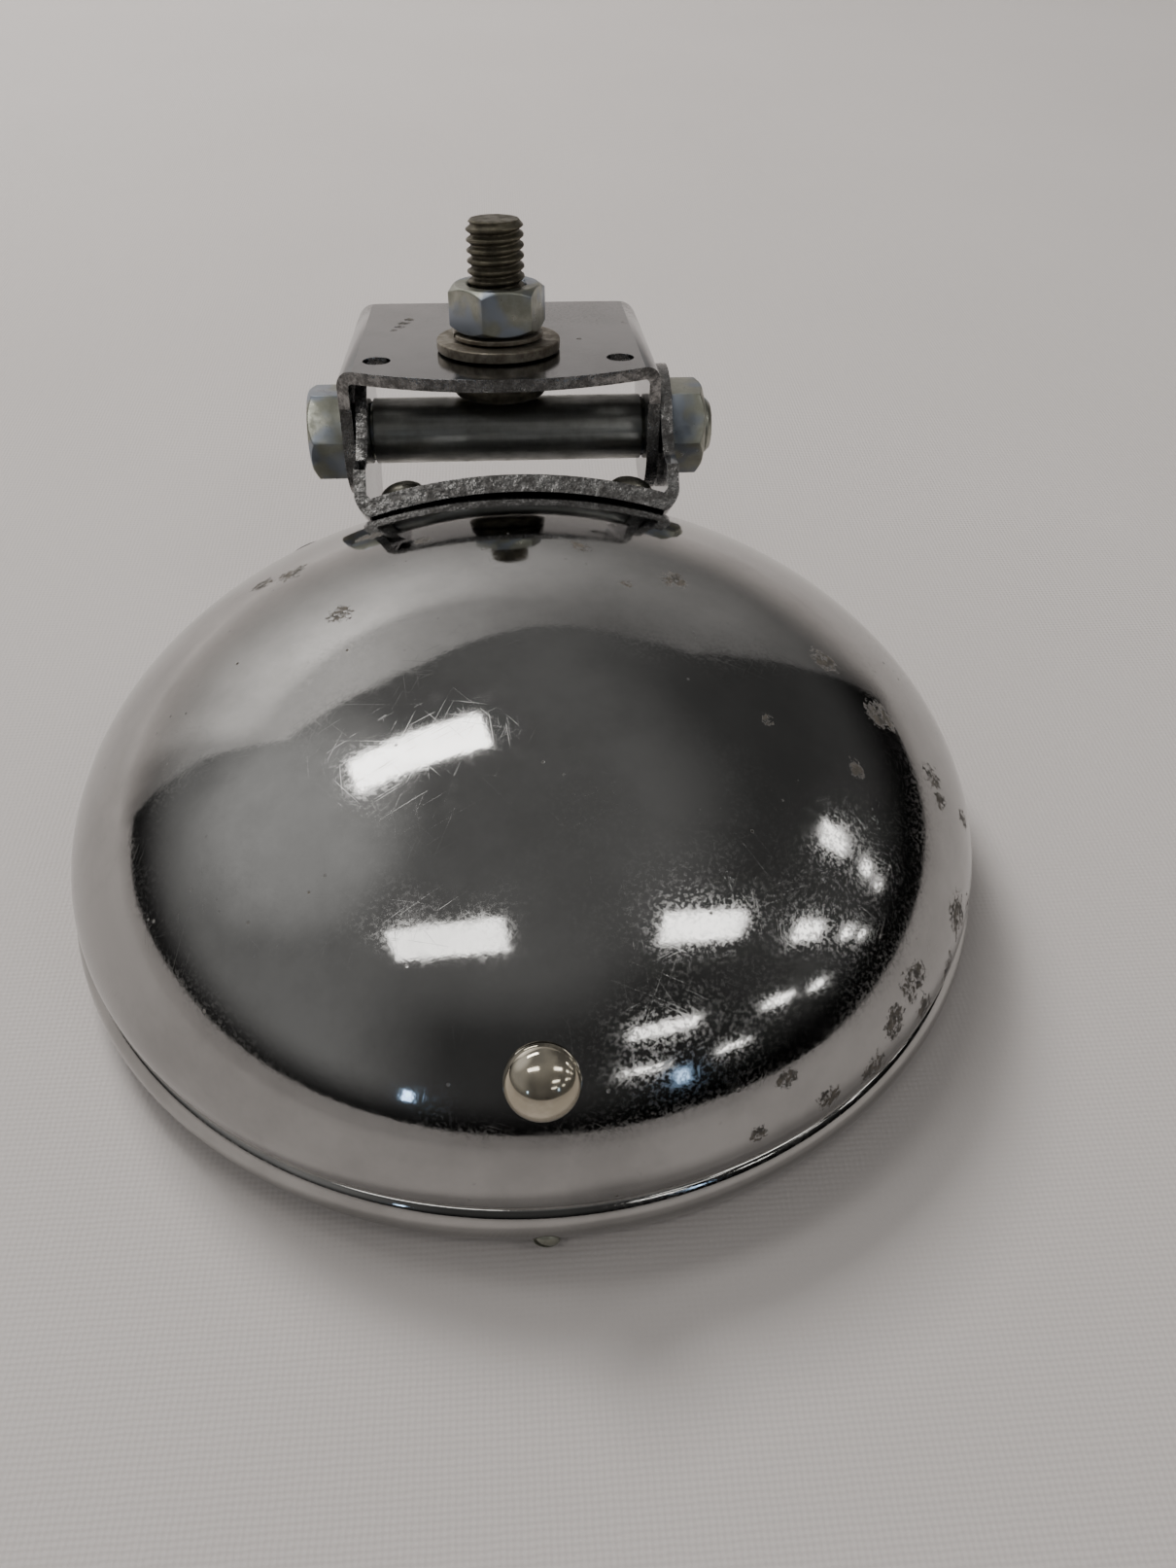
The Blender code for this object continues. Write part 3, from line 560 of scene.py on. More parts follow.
def worn_metal(name, light, dark, roughness, spread, metallic, scale, bump, tint=None):
    """Aged plain or plated metal, mottled in colour and gloss; bump in mm."""
    n = Finish(name)
    mottle = n.noise(scale, 5.0, 0.65)
    broad = n.noise(scale * 0.22, 3.0, 0.6)
    blend = n.ramp(n.plus(n.times(mottle, 0.55), n.times(broad, 0.45)), 0.38, 0.62)
    colour = n.mix(blend, dark, light)
    if tint:
        patches = n.noise(scale * 0.4, 2.0, 0.5, n.scaled((1, 1, 1), offset=(7, 3, 1)))
        colour = n.mix(n.ramp(patches, 0.44, 0.56), colour, tint)
    n.set("Base Color", colour)
    n.set("Metallic", n.ramp(blend, 0.0, 1.0, metallic * 0.75, metallic))
    n.set("Roughness", n.ramp(mottle, 0.3, 0.7, roughness + spread, roughness))
    n.set("Normal", n.bump(mottle, bump * MM, 0.6))
    return n.material


def brushed_tube(name, light, dark, roughness):
    """Dark drawn tube, local Z along its length, with faint long streaks."""
    n = Finish(name)
    along = n.noise(1.0, 4.0, 0.6, n.scaled((1100.0, 1100.0, 45.0)))
    patches = n.noise(160.0, 4.0, 0.6)
    blend = n.ramp(n.plus(n.times(along, 0.35), n.times(patches, 0.65)), 0.36, 0.64)
    n.set("Base Color", n.mix(blend, dark, light))
    n.set("Metallic", 1.0)
    n.set("Roughness", n.ramp(patches, 0.3, 0.7, roughness + 0.15, roughness))
    n.set("Normal", n.bump(patches, 0.008 * MM, 0.5))
    return n.material


def plain_finish(name, tone, gloss, relief, **fixed):
    """A smooth material with a little variation.

    tone is a noise and two colours, gloss a noise, its range and two
    roughnesses, relief a noise, a height in mm and a strength.
    """
    n = Finish(name)
    noise, dark, light = tone
    n.set("Base Color", n.mix(n.noise(*noise), dark, light))
    noise, *span = gloss
    n.set("Roughness", n.ramp(n.noise(*noise), *span))
    noise, height, strength = relief
    n.set("Normal", n.bump(n.noise(*noise), height * MM, strength))
    for socket, value in fixed.items():
        n.set(socket.replace("_", " "), value)
    return n.material


def cloth_material(name):
    """Pale matte woven cloth; where it rises it has painted shade that darkens it to the right and a painted glow,
    strongest at the left.
    """
    n = Finish(name)
    weave = n.plus(n.wave("X"), n.wave("Y"))
    x, _, z = n.split()
    pale = n.mix(n.noise(9.0, 3.0), (0.525, 0.49, 0.475), (0.575, 0.54, 0.525))
    # painted shade: the raised sheet's colour is darker towards the right
    raised_painted_shade = n.mix(n.ramp(x, -0.8, 0.4), (0.50, 0.485, 0.475), (0.20, 0.196, 0.195))
    n.set("Base Color", n.mix(n.ramp(z, 0.02, 0.30), pale, raised_painted_shade))
    n.set("Emission Color", (1.0, 0.98, 0.96, 1.0))
    # painted glow: the raised sheet emits light, most at the left
    n.set("Emission Strength", n.times(n.ramp(x, -0.8, 0.5, 0.55, 0.15), n.ramp(z, 0.10, 0.60)))
    n.set("Roughness", 0.85)
    n.set("Normal", n.bump(weave, 0.06 * MM, 0.5))
    return n.material


# pit clusters on the shell: (x, y, z) from the dome's centre at its edge plane, and a radius, in mm
SHELL_PITS = [
    ((-33.5, 19.1, 28.4), 4.0), ((-37.9, 19.8, 26.4), 3.0), ((-22.4, 25.4, 30.4), 3.0), ((-24.5, 1.7, 33.3), 3.0),
    ((-13.9, 19.0, 33.6), 2.2), ((8.6, 14.2, 35.0), 2.6), ((14.4, 4.5, 35.2), 1.8), ((21.0, 6.8, 33.9), 3.2),
    ((41.3, -3.5, 27.0), 3.4), ((48.4, -9.7, 22.3), 4.0), ((55.9, -15.2, 15.2), 3.4), ((56.4, -18.4, 13.6), 2.6),
    ((47.5, -43.3, 6.7), 4.2), ((56.9, -31.4, 5.3), 5.0), ((54.9, -37.4, 1.5), 3.4), ((50.0, -43.5, 1.5), 3.6),
    ((41.5, -51.9, 1.0), 3.8), ((34.5, -56.5, 2.0), 2.8), ((28.7, -57.0, 7.6), 2.4), ((25.3, -60.9, 2.7), 2.0),
    ((30.5, -18.4, 29.7), 1.6), ((42.1, -21.6, 23.7), 2.2), ((44.0, -47.5, 4.5), 3.6), ((62.0, -16.0, 8.0), 3.0),
    ((59.5, -27.0, 2.5), 2.6),
]
# rust marks on the stud plate: (x, y, z) from the pivot with Z along the stud, and a radius, in mm
PLATE_PITS = [
    ((-18.2, 21.0, 13.6), 1.7), ((-18.9, 18.5, 13.6), 2.0), ((-19.7, 16.0, 13.6), 1.7), ((-20.6, 13.5, 13.6), 1.3),
    ((12.0, 6.0, 13.6), 1.0), ((21.0, 17.0, 13.6), 1.2),
]


def scaled_pits(pits):
    return [(tuple(value * MM for value in point), radius * MM) for point, radius in pits]


CHROME = chrome_material("chrome_dome", (0.40, 0.397, 0.390), 0.055, 0.15, scaled_pits(SHELL_PITS), 0.7)
CHROME_RIM = chrome_material("chrome_rim", (0.44, 0.436, 0.425), 0.045, 0.14, (), 0.3, 0.6)
CHROME_BRACKET = chrome_material("chrome_bracket", (0.33, 0.335, 0.345), 0.10, 0.16, scaled_pits(PLATE_PITS), 0.6, 0.7)
CHROME_STRAP = chrome_material("chrome_strap", (0.36, 0.365, 0.375), 0.08, 0.18, (), 0.9, 0.8)
SHEARED = sheared_material("sheared_edge")
NICKEL = worn_metal("nickel_button", (0.60, 0.55, 0.45), (0.49, 0.44, 0.34), 0.06, 0.08, 1.0, 180.0, 0.004)
ZINC = worn_metal("zinc_aged", (0.37, 0.375, 0.325), (0.25, 0.255, 0.21), 0.26, 0.18, 0.97, 320.0, 0.03,
                  (0.26, 0.29, 0.335))
WEATHERED = worn_metal("steel_weathered", (0.31, 0.285, 0.235), (0.12, 0.10, 0.075), 0.36, 0.26, 0.95, 420.0, 0.05)
STUD_STEEL = worn_metal("steel_stud", (0.155, 0.142, 0.105), (0.05, 0.043, 0.03), 0.36, 0.26, 0.95, 520.0, 0.06)
DARK_STEEL = brushed_tube("steel_dark_tube", (0.52, 0.525, 0.50), (0.30, 0.30, 0.275), 0.30)
RIVET_STEEL = worn_metal("steel_dark_rivet", (0.27, 0.26, 0.22), (0.09, 0.08, 0.06), 0.24, 0.22, 0.95, 380.0, 0.05)
SPRING = worn_metal("steel_spring", (0.48, 0.48, 0.47), (0.34, 0.33, 0.31), 0.25, 0.18, 1.0, 300.0, 0.02)
TUNGSTEN = worn_metal("tungsten_wire", (0.30, 0.30, 0.31), (0.17, 0.17, 0.18), 0.35, 0.15, 1.0, 900.0, 0.01)
RUBBER = plain_finish("rubber_black", ((90.0, 3.0), (0.018, 0.018, 0.018), (0.045, 0.043, 0.040)),
                      ((1500.0, 4.0, 0.6), 0.3, 0.7, 0.62, 0.82), ((1500.0, 4.0, 0.6), 0.03, 0.5))
GLASS = plain_finish("glass_clear", ((40.0, 2.0), (0.90, 0.94, 0.93), (0.96, 0.98, 0.98)),
                     ((300.0, 3.0), 0.35, 0.8, 0.01, 0.06), ((60.0, 2.0), 0.02, 0.3),
                     Transmission_Weight=1.0, IOR=1.47)
SILVERED = plain_finish("glass_silvered", ((70.0, 3.0), (0.80, 0.80, 0.79), (0.88, 0.88, 0.88)),
                        ((220.0, 3.0), 0.35, 0.75, 0.03, 0.10), ((150.0, 2.0), 0.01, 0.3), Metallic=1.0)
CLOTH = cloth_material("cloth_pale")

AT_LAMP = Matrix.Translation(LAMP_CENTRE)


# ---- lamp body ----------------------------------------------------------
def build_shell():
    outer = dome_profile(110, 0.0)
    rim = in_mm([(66.5, 0.0), (66.5, -0.5), (66.48, -1.2), (66.4, -1.9), (66.3, -2.45), (66.1, -2.6), (64.4, -2.6),
                 (64.4, -9.2), (63.4, -9.2), (63.4, -1.2), (65.5, 0.2)])
    inner = dome_profile(40, SHELL_WALL)
    shell = make_piece("shell_dome", revolve(outer + rim + inner[::-1], FINE), CHROME, AT_LAMP, sharp=40)
    stands_for(shell, "lamp", "chrome_plate", "housing_shell")


def build_bezel():
    upper = [bead_point(math.radians(50) * (1 - k / 14)) for k in range(14)]
    lower = [bead_point(math.radians(-78) * k / 20) for k in range(21)]
    lip = in_mm([(62.0, -12.0), (58.6, -12.0), (57.6, -11.75), (56.3, -11.1), (55.4, -10.3), (54.8, -9.4), (54.4, -8.0),
                 (55.4, -8.0), (55.8, -9.1), (57.0, -10.3), (58.9, -11.0), (61.8, -11.0)])
    inner = [bead_point(math.radians(-70 + 12 * k), BEZEL_WALL) for k in range(11)]
    top = in_mm([(65.35, -3.3), (65.55, -2.99), (65.8, -2.91)])
    profile = upper + lower + lip + inner + top
    pocket = revolve(in_mm([(0, 72), (1.9, 72), (1.9, 66.4), (1.2, 65.6), (0, 65.6)]), SMALL)
    bezel = make_piece("bezel_bead", revolve(profile, FINE), CHROME_RIM, AT_LAMP,
                       [(pocket, screw_frame(), "DIFFERENCE")], sharp=40)
    stands_for(bezel, "lamp", "chrome_plate", "bezel_ring")


def screw_frame():
    """Frame on the lamp axis, Z out along -Y, leaning down from the nut to be square to the bead."""
    nut = Vector((0, 0, 61.2 * MM))
    return (Matrix.Translation(LAMP_CENTRE + Vector((0, 0, BEZEL_SCREW_Z)))
            @ Matrix.Rotation(math.pi / 2, 4, "X") @ Matrix.Translation(nut)
            @ Matrix.Rotation(BEZEL_SCREW_LEAN, 4, "X") @ Matrix.Translation(-nut))


def build_bezel_screw():
    place = screw_frame()
    shank = revolve(in_mm([(0, 67.85), (0.5, 67.81), (1.0, 67.68), (1.4, 67.44), (1.6, 67.2), (1.65, 67.0), (1.6, 66.7),
                           (1.1, 65.9), (1.1, 60.2), (0, 60.2)]), 40)
    shank.transform(place)
    slot = extrude_outline(in_mm([(-0.35, -3), (0.35, -3), (0.35, 3), (-0.35, 3)]), 67.1 * MM, 69 * MM)
    screw = make_piece("bezel_screw_slotted", shank, ZINC,
                       cutters=[(slot, place @ Matrix.Rotation(BEZEL_SLOT_TURN, 4, "Z"), "DIFFERENCE")])
    stands_for(screw, "lamp", "zinc_plate", "bezel_screw")


def build_plug():
    dome = cap_profile(4.4 * MM, 2.7 * MM, 0.45 * MM, 20)
    stem = in_mm([(4.35, 0.4), (2.6, 0.4), (2.6, -4.6), (0, -4.6)])
    plug = make_piece("plug_dome", revolve(dome + stem, ROUND), NICKEL, dome_frame(PLUG_TILT, PLUG_AZIMUTH))
    stands_for(plug, "lamp", "nickel_plate", "plug_button")


def build_grommet():
    profile = in_mm([(2.2, 2.0), (5.0, 2.0), (6.2, 1.3), (6.2, 0.75), (4.6, 0.75), (4.6, -2.2), (6.2, -2.2),
                     (5.6, -3.4), (2.2, -3.4)])
    grommet = make_piece("grommet_ring", revolve(rounded(profile, 0.35 * MM), SMALL), RUBBER,
                         dome_frame(GROMMET_TILT, GROMMET_AZIMUTH))
    stands_for(grommet, "lamp", "black_rubber", "cable_grommet")


def build_lens():
    """Crowned lens; the flutes on its inner face fade out before the edge."""
    crown = 6.1 * MM
    thickness = 2.8 * MM
    inner_scale = 0.98
    flute_width = 6.0 * MM
    flute_depth = 0.28 * MM
    flute_end = 0.95
    fade_width = 0.06
    shares = [k / 40 for k in range(41)]
    front = [(LENS_RADIUS * share, LENS_RIM - crown * (1 - share ** 2)) for share in shares]
    back = [(radius * inner_scale, height + thickness) for radius, height in front]
    rim_top = LENS_RIM + FLANGE
    profile = back + [(LENS_RADIUS, rim_top), (BEAM_RADIUS, rim_top), (BEAM_RADIUS, LENS_RIM)] + front[::-1]
    bm = revolve(profile, 200)
    for vert in bm.verts:
        radius = math.hypot(vert.co.x, vert.co.y)
        share = min(radius / LENS_RADIUS, 1.0)
        inner_face = LENS_RIM - crown * (1 - (radius / inner_scale / LENS_RADIUS) ** 2) + thickness
        if share < flute_end and abs(vert.co.z - inner_face) < 0.05 * MM:
            fade = min(1.0, (flute_end - share) / fade_width)
            vert.co.z += flute_depth * fade * abs(math.sin(math.pi * vert.co.x / flute_width))
    lens = make_piece("lens_fluted", bm, GLASS, AT_LAMP, sharp=50)
    stands_for(lens, "lamp", "clear_glass", "sealed_beam_lens")


def build_reflector():
    """Paraboloid bowl with a flange on the lens."""
    wall = 2.4 * MM
    mouth = LENS_RIM + FLANGE + GAP
    flange_top = mouth + FLANGE
    mouth_radius = math.sqrt(4 * REFLECTOR_FOCUS * (REFLECTOR_VERTEX_Z - mouth))
    radii = [mouth_radius * k / 48 for k in range(49)]
    inner = [(radius, REFLECTOR_VERTEX_Z - radius ** 2 / (4 * REFLECTOR_FOCUS)) for radius in radii]
    outer = [(radius + wall * 0.55 * radius / mouth_radius, height + wall) for radius, height in inner[:-1]]
    profile = outer + [(53.2 * MM, flange_top), (BEAM_RADIUS, flange_top), (BEAM_RADIUS, mouth)] + inner[::-1]
    bowl = make_piece("reflector_bowl", revolve(profile, 160), SILVERED, AT_LAMP, sharp=40)
    stands_for(bowl, "lamp", "silvered_glass", "sealed_beam_reflector")


def sweep_tube(points, radius, sides):
    """A round wire along a list of points, closed at both ends."""
    rings = []
    for k, point in enumerate(points):
        ahead = (points[min(k + 1, len(points) - 1)] - points[max(k - 1, 0)]).normalized()
        side = ahead.cross(Vector((0, 0, 1)))
        if side.length < 1e-3:
            side = ahead.cross(Vector((0, 1, 0)))
        side.normalize()
        other = ahead.cross(side)
        turns = [2 * math.pi * i / sides for i in range(sides)]
        rings.append([point + radius * (side * math.cos(turn) + other * math.sin(turn)) for turn in turns])
    return loft(rings)


def build_filament():
    low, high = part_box("filament_coil")
    centre = (low + high) / 2
    half_length = (high.x - low.x) / 2 - 0.2 * MM
    coil_radius = (high.z - low.z) / 2 - 0.15 * MM
    turns = 12
    steps = turns * 20
    points = []
    for k in range(steps + 1):
        share = k / steps
        angle = 2 * math.pi * turns * share
        points.append(centre + Vector((half_length * (2 * share - 1), coil_radius * math.cos(angle),
                                       coil_radius * math.sin(angle))))
    coil = make_piece("filament_wire", sweep_tube(points, 0.14 * MM, 8), TUNGSTEN, sharp=60)
    stands_for(coil, "lamp", "tungsten", "filament_coil")


# ---- saddle bracket -----------------------------------------------------
def saddle_matrix():
    """Frame at the pivot, Y along the strap towards the rim, Z off the dome."""
    lift = GAP + SHEET + PIVOT_ABOVE_STRAP
    return dome_frame(SADDLE_TILT, math.pi / 2) @ Matrix.Translation((0, 0, lift))


def strap_curve_radius():
    """Radius of the dome's cross-section under the strap."""
    return dome_radius_at(SADDLE_TILT) / math.sin(SADDLE_TILT) + GAP


def saddle_section():
    """Closed U outline in (x, z): two ears and a strap curved like the dome."""
    curve = strap_curve_radius()
    centre = (0, -PIVOT_ABOVE_STRAP - SHEET - curve)
    bend = 2.6 * MM
    inner_bend = 0.6 * MM
    ear_top = EAR_RADIUS + 2 * MM
    inner_half = HALF_WIDTH - SHEET
    reach_out = math.asin((HALF_WIDTH - bend) / curve)
    reach_in = math.asin((inner_half - inner_bend) / (curve + SHEET))
    under = arc(centre, curve, math.pi / 2 + reach_out, math.pi / 2 - reach_out, 48)
    over = arc(centre, curve + SHEET, math.pi / 2 - reach_in, math.pi / 2 + reach_in, 48)
    bend_right = arc((HALF_WIDTH - bend, under[0][1] + bend), bend, -math.pi / 2, 0, 10)[1:]
    bend_left = [(-x, z) for x, z in bend_right[::-1]]
    inner_z = over[0][1] + inner_bend
    outline = [(-HALF_WIDTH, ear_top)] + bend_left + under + bend_right
    outline += [(HALF_WIDTH, ear_top), (inner_half, ear_top), (inner_half, inner_z)]
    outline += over + [(-inner_half, inner_z), (-inner_half, ear_top)]
    return shifted(outline, SADDLE_CENTRE_X)


def rivet_frame(side):
    """Frame on the strap's top face at a rivet, Z along the head's axis."""
    top_radius = strap_curve_radius() + SHEET
    angle = side * math.asin(RIVET_HALF_SPACING / top_radius)
    centre_z = -PIVOT_ABOVE_STRAP - top_radius
    return (saddle_matrix() @ Matrix.Translation((SADDLE_CENTRE_X, RIVET_T, centre_z))
            @ Matrix.Rotation(angle, 4, "Y") @ Matrix.Translation((0, 0, top_radius)))


def build_saddle():
    place = saddle_matrix()
    side = in_mm([(-17, -23), (13, -23), (13, -10.5), (11.5, -8), (10.5, -4)])
    side += arc((0, 0), EAR_RADIUS, 0, math.pi, 48)
    side += in_mm([(-10.5, -4), (-12.5, -8), (-17, -10.5)])
    wide = HALF_WIDTH + 5 * MM
    cutters = [(extrude_along_x(side, -wide, wide), place, "INTERSECT"),
               (along_x_cylinder(BOLT_RADIUS + GAP, -wide, wide), place, "DIFFERENCE")]
    for hand in (-1, 1):
        cutters.append((cylinder(2.2 * MM, -8 * MM, 8 * MM), rivet_frame(hand), "DIFFERENCE"))
    sheet = extrude_along_y(saddle_section(), STRAP_FRONT, STRAP_REAR)
    saddle = make_piece("saddle_strap", sheet, CHROME_STRAP, place, cutters, EDGE_BEVEL, 50, (0, 1))
    shear_edges(saddle, SADDLE_CENTRE_X, lambda height: height > -PIVOT_ABOVE_STRAP + 3 * MM)
    dish_strap(saddle)
    stands_for(saddle, "lamp", "chrome_plate", "saddle_bracket")


def strap_drop(along, depth):
    """How far the pressed strap follows the dome down; depth 0 is its top face and 1 its underside."""
    return (0.8 + 0.9 * depth) * MM * min(abs(along) / abs(STRAP_FRONT), 1.0) ** 2


def dish_strap(saddle):
    """Press the strap to the dome; the ears above it stay flat."""
    curve = strap_curve_radius()
    for vert in saddle.data.vertices:
        across = vert.co.x - SADDLE_CENTRE_X
        under = -PIVOT_ABOVE_STRAP - SHEET - curve + math.sqrt(curve ** 2 - across ** 2)
        depth = min(max(1 - (vert.co.z - under) / SHEET, 0.0), 1.0)
        share = min(max((-PIVOT_ABOVE_STRAP + 5 * MM - vert.co.z) / (5 * MM), 0.0), 1.0)
        vert.co.z -= strap_drop(vert.co.y, depth) * share


def build_rivets():
    dome = cap_profile(3.8 * MM, 2.2 * MM, 0.35 * MM, 14)
    tail = in_mm([(1.85, 0.35), (1.85, -5.4), (3.2, -5.4), (2.6, -6.7), (0, -7.0)])
    for side, name in ((-1, "left"), (1, "right")):
        rivet = make_piece("rivet_" + name, revolve(dome + tail, SMALL), RIVET_STEEL,
                           rivet_frame(side) @ Matrix.Translation((0, 0, -strap_drop(RIVET_T, 0))))
        stands_for(rivet, "lamp", "dark_steel", "saddle_rivet_" + name)


# ---- fasteners ----------------------------------------------------------
def chamfer_tool(low, high, chamfer_low, chamfer_high):
    """Cone-ended cylinder that rounds off a hexagon's corners at its ends."""
    flat_radius = HEX_CORNER_RADIUS * 0.84
    drop = (HEX_CORNER_RADIUS - flat_radius) * math.tan(math.radians(37))

    def end(level, chamfer, away):
        """The cone's start, corner and end, or those of a plain cylinder that reaches past the end."""
        if chamfer:
            return level - away * drop, flat_radius, level
        return level + away * 1 * MM, HEX_CORNER_RADIUS * 1.2, level + away * 1.5 * MM

    low_start, low_corner, low_end = end(low, chamfer_low, -1)
    high_start, high_corner, high_end = end(high, chamfer_high, 1)
    wide = HEX_CORNER_RADIUS * 1.0005
    return revolve([(0, high_end), (high_corner, high_end), (wide, high_start), (wide, low_start),
                    (low_corner, low_end), (0, low_end)], ROUND)


def build_pivot():
    place = saddle_matrix() @ Matrix.Rotation(math.pi / 2, 4, "Y")
    chamfer = 0.8 * MM
    head_inner = UPPER_CENTRE_X - HALF_WIDTH - GAP
    head_outer = head_inner - 6.0 * MM
    nut_low = SADDLE_CENTRE_X + HALF_WIDTH + GAP
    nut_high = nut_low + 5.9 * MM
    shank_start = head_inner - 1 * MM
    shank_end = nut_high + 1.6 * MM

    head = extrude_outline(hexagon(0), head_outer, head_inner)
    shank = revolve([(0, shank_end), (BOLT_RADIUS - chamfer, shank_end), (BOLT_RADIUS, shank_end - chamfer),
                     (BOLT_RADIUS, shank_start), (0, shank_start)], SMALL)
    bolt = make_piece("pivot_bolt_hex", head, ZINC, place,
                      [(chamfer_tool(head_outer, head_inner, True, False), place, "INTERSECT"),
                       (shank, place, "UNION")], HEX_BEVEL, 40)
    stands_for(bolt, "lamp", "zinc_plate", "pivot_bolt")

    body = extrude_outline(hexagon(PIVOT_NUT_TURN), nut_low, nut_high)
    bore = cylinder(BOLT_RADIUS + 0.15 * MM, nut_low - 2 * MM, nut_high + 2 * MM)
    nut = make_piece("pivot_nut_hex", body, ZINC, place,
                     [(chamfer_tool(nut_low, nut_high, False, True), place, "INTERSECT"),
                      (bore, place, "DIFFERENCE")], HEX_BEVEL, 40)
    stands_for(nut, "lamp", "zinc_plate", "pivot_nut")

    tube_low = SADDLE_CENTRE_X - HALF_WIDTH + SHEET + GAP
    tube_high = UPPER_CENTRE_X + HALF_WIDTH - SHEET - GAP
    bore_radius = BOLT_RADIUS + 0.2 * MM
    profile = [(TUBE_RADIUS, tube_high), (TUBE_RADIUS, tube_low), (bore_radius, tube_low), (bore_radius, tube_high)]
    tube = make_piece("spacer_tube_fine", revolve(rounded(profile, 0.2 * MM), ROUND), DARK_STEEL, place)
    stands_for(tube, "lamp", "dark_steel", "spacer_tube")


# ---- stud bracket and stud ----------------------------------------------
def tilt_matrix():
    """Frame at the pivot with Z along the stud."""
    lean = math.atan2(STUD_AXIS.y, STUD_AXIS.z)
    return Matrix.Translation(PIVOT) @ Matrix.Rotation(-lean, 4, "X")


def plate_section():
    """Closed U outline in (x, z): the plate and two ears that are cut to shape later."""
    bend = 2.8 * MM
    inner_bend = 0.8 * MM
    inner_half = HALF_WIDTH - SHEET
    low = -EAR_RADIUS - 2 * MM
    outer = [(-HALF_WIDTH, low)] + arc((-HALF_WIDTH + bend, PLATE_TOP - bend), bend, math.pi, math.pi / 2, 12)
    inner = [(inner_half, low)]
    inner += arc((inner_half - inner_bend, PLATE_UNDER - inner_bend), inner_bend, 0, math.pi / 2, 6)
    return shifted(mirrored(outer) + mirrored(inner), UPPER_CENTRE_X)


def plate_outline():
    """The plate from above: bowed front edge and rounded rear corners; its sides run clear of the sheet."""
    corner = 4.0 * MM
    beyond = HALF_WIDTH + 0.5 * MM
    steps = 60
    front = []
    for k in range(steps + 1):
        across = -1 + 2 * k / steps
        bow = (PLATE_FRONT_MIDDLE - PLATE_FRONT_SIDE) * (1 - across ** 2)
        front.append((across * beyond, PLATE_FRONT_SIDE + bow))
    rear = [(beyond, PLATE_REAR - corner - 1 * MM)]
    rear += arc((HALF_WIDTH + 0.01 * MM - corner, PLATE_REAR - corner), corner, 0, math.pi / 2, 16)
    return shifted(front + mirrored(rear), UPPER_CENTRE_X)


def build_stud_bracket():
    place = tilt_matrix()
    side = in_mm([(-21, 15.6), (-21, 9.6), (-10.5, 7.1)])
    side += arc((0, 0), EAR_RADIUS, math.pi, 2 * math.pi, 48)
    side += in_mm([(11, 2), (12, 7.63), (15, 11.63), (36.5, 11.63), (36.5, 15.6)])
    top = PLATE_TOP + 2 * MM
    wide = HALF_WIDTH + 6 * MM
    cutters = [(extrude_outline(plate_outline(), -EAR_RADIUS - 4 * MM, top), place, "INTERSECT"),
               (extrude_along_x(side, -wide, wide), place, "INTERSECT"),
               (along_x_cylinder(BOLT_RADIUS + GAP, -wide, wide), place, "DIFFERENCE")]
    for x, y, radius in ((0, 0, BOLT_RADIUS + GAP), *in_mm([(-20.2, -6, 2.3), (20.2, -6, 2.3)])):
        hole = place @ Matrix.Translation((UPPER_CENTRE_X + x, y, 0))
        cutters.append((cylinder(radius, PLATE_UNDER - 2 * MM, top), hole, "DIFFERENCE"))
    sheet = extrude_along_y(plate_section(), PLATE_FRONT_MIDDLE - 1 * MM, PLATE_REAR + 1 * MM)
    bracket = make_piece("stud_plate", sheet, CHROME_BRACKET, place, cutters, EDGE_BEVEL, 50, (0, 1, 2))
    shear_edges(bracket, UPPER_CENTRE_X, lambda height: height < PLATE_UNDER - 3 * MM)
    stands_for(bracket, "tilt_bracket", "chrome_plate", "stud_bracket")


def build_stud():
    place = tilt_matrix() @ Matrix.Translation((UPPER_CENTRE_X, 0, 0))
    under = PLATE_UNDER - GAP
    washer_low = PLATE_TOP + GAP
    washer_high = washer_low + 1.7 * MM
    lock_low = washer_high + GAP
    lock_high = lock_low + 0.9 * MM
    nut_low = lock_high + GAP
    nut_high = nut_low + NUT_HEIGHT
    stud_end = nut_high + STUD_EXPOSED

    hole = BOLT_RADIUS + GAP
    washer = [(hole, washer_high), (WASHER_RADIUS, washer_high), (WASHER_RADIUS, washer_low), (hole, washer_low)]
    flat = make_piece("flat_washer", revolve(rounded(washer, 0.3 * MM), ROUND), WEATHERED, place)
    stands_for(flat, "stud", "weathered_steel", "stud_flat_washer")

    build_lock_washer(place, lock_low, lock_high)

    body = extrude_outline(hexagon(STUD_NUT_TURN), nut_low, nut_high)
    bore_radius = BOLT_RADIUS + 0.1 * MM
    above = nut_high + 1 * MM
    below = nut_low - 1 * MM
    bore = revolve([(0, above), (BOLT_RADIUS + 1.2 * MM, above), (bore_radius, nut_high - 0.4 * MM),
                    (bore_radius, below), (0, below)], SMALL)
    nut = make_piece("stud_nut_hex", body, ZINC, place,
                     [(chamfer_tool(nut_low, nut_high, True, True), place, "INTERSECT"),
                      (bore, place, "DIFFERENCE")], HEX_BEVEL, 40)
    stands_for(nut, "stud", "zinc_plate", "stud_nut")

    bm = loft(stud_rings(under, nut_high - THREAD_PITCH, stud_end))
    bm.transform(place)
    stud = make_piece("stud_threaded", bm, STUD_STEEL, sharp=50)
    stands_for(stud, "stud", "weathered_steel", "mount_stud")


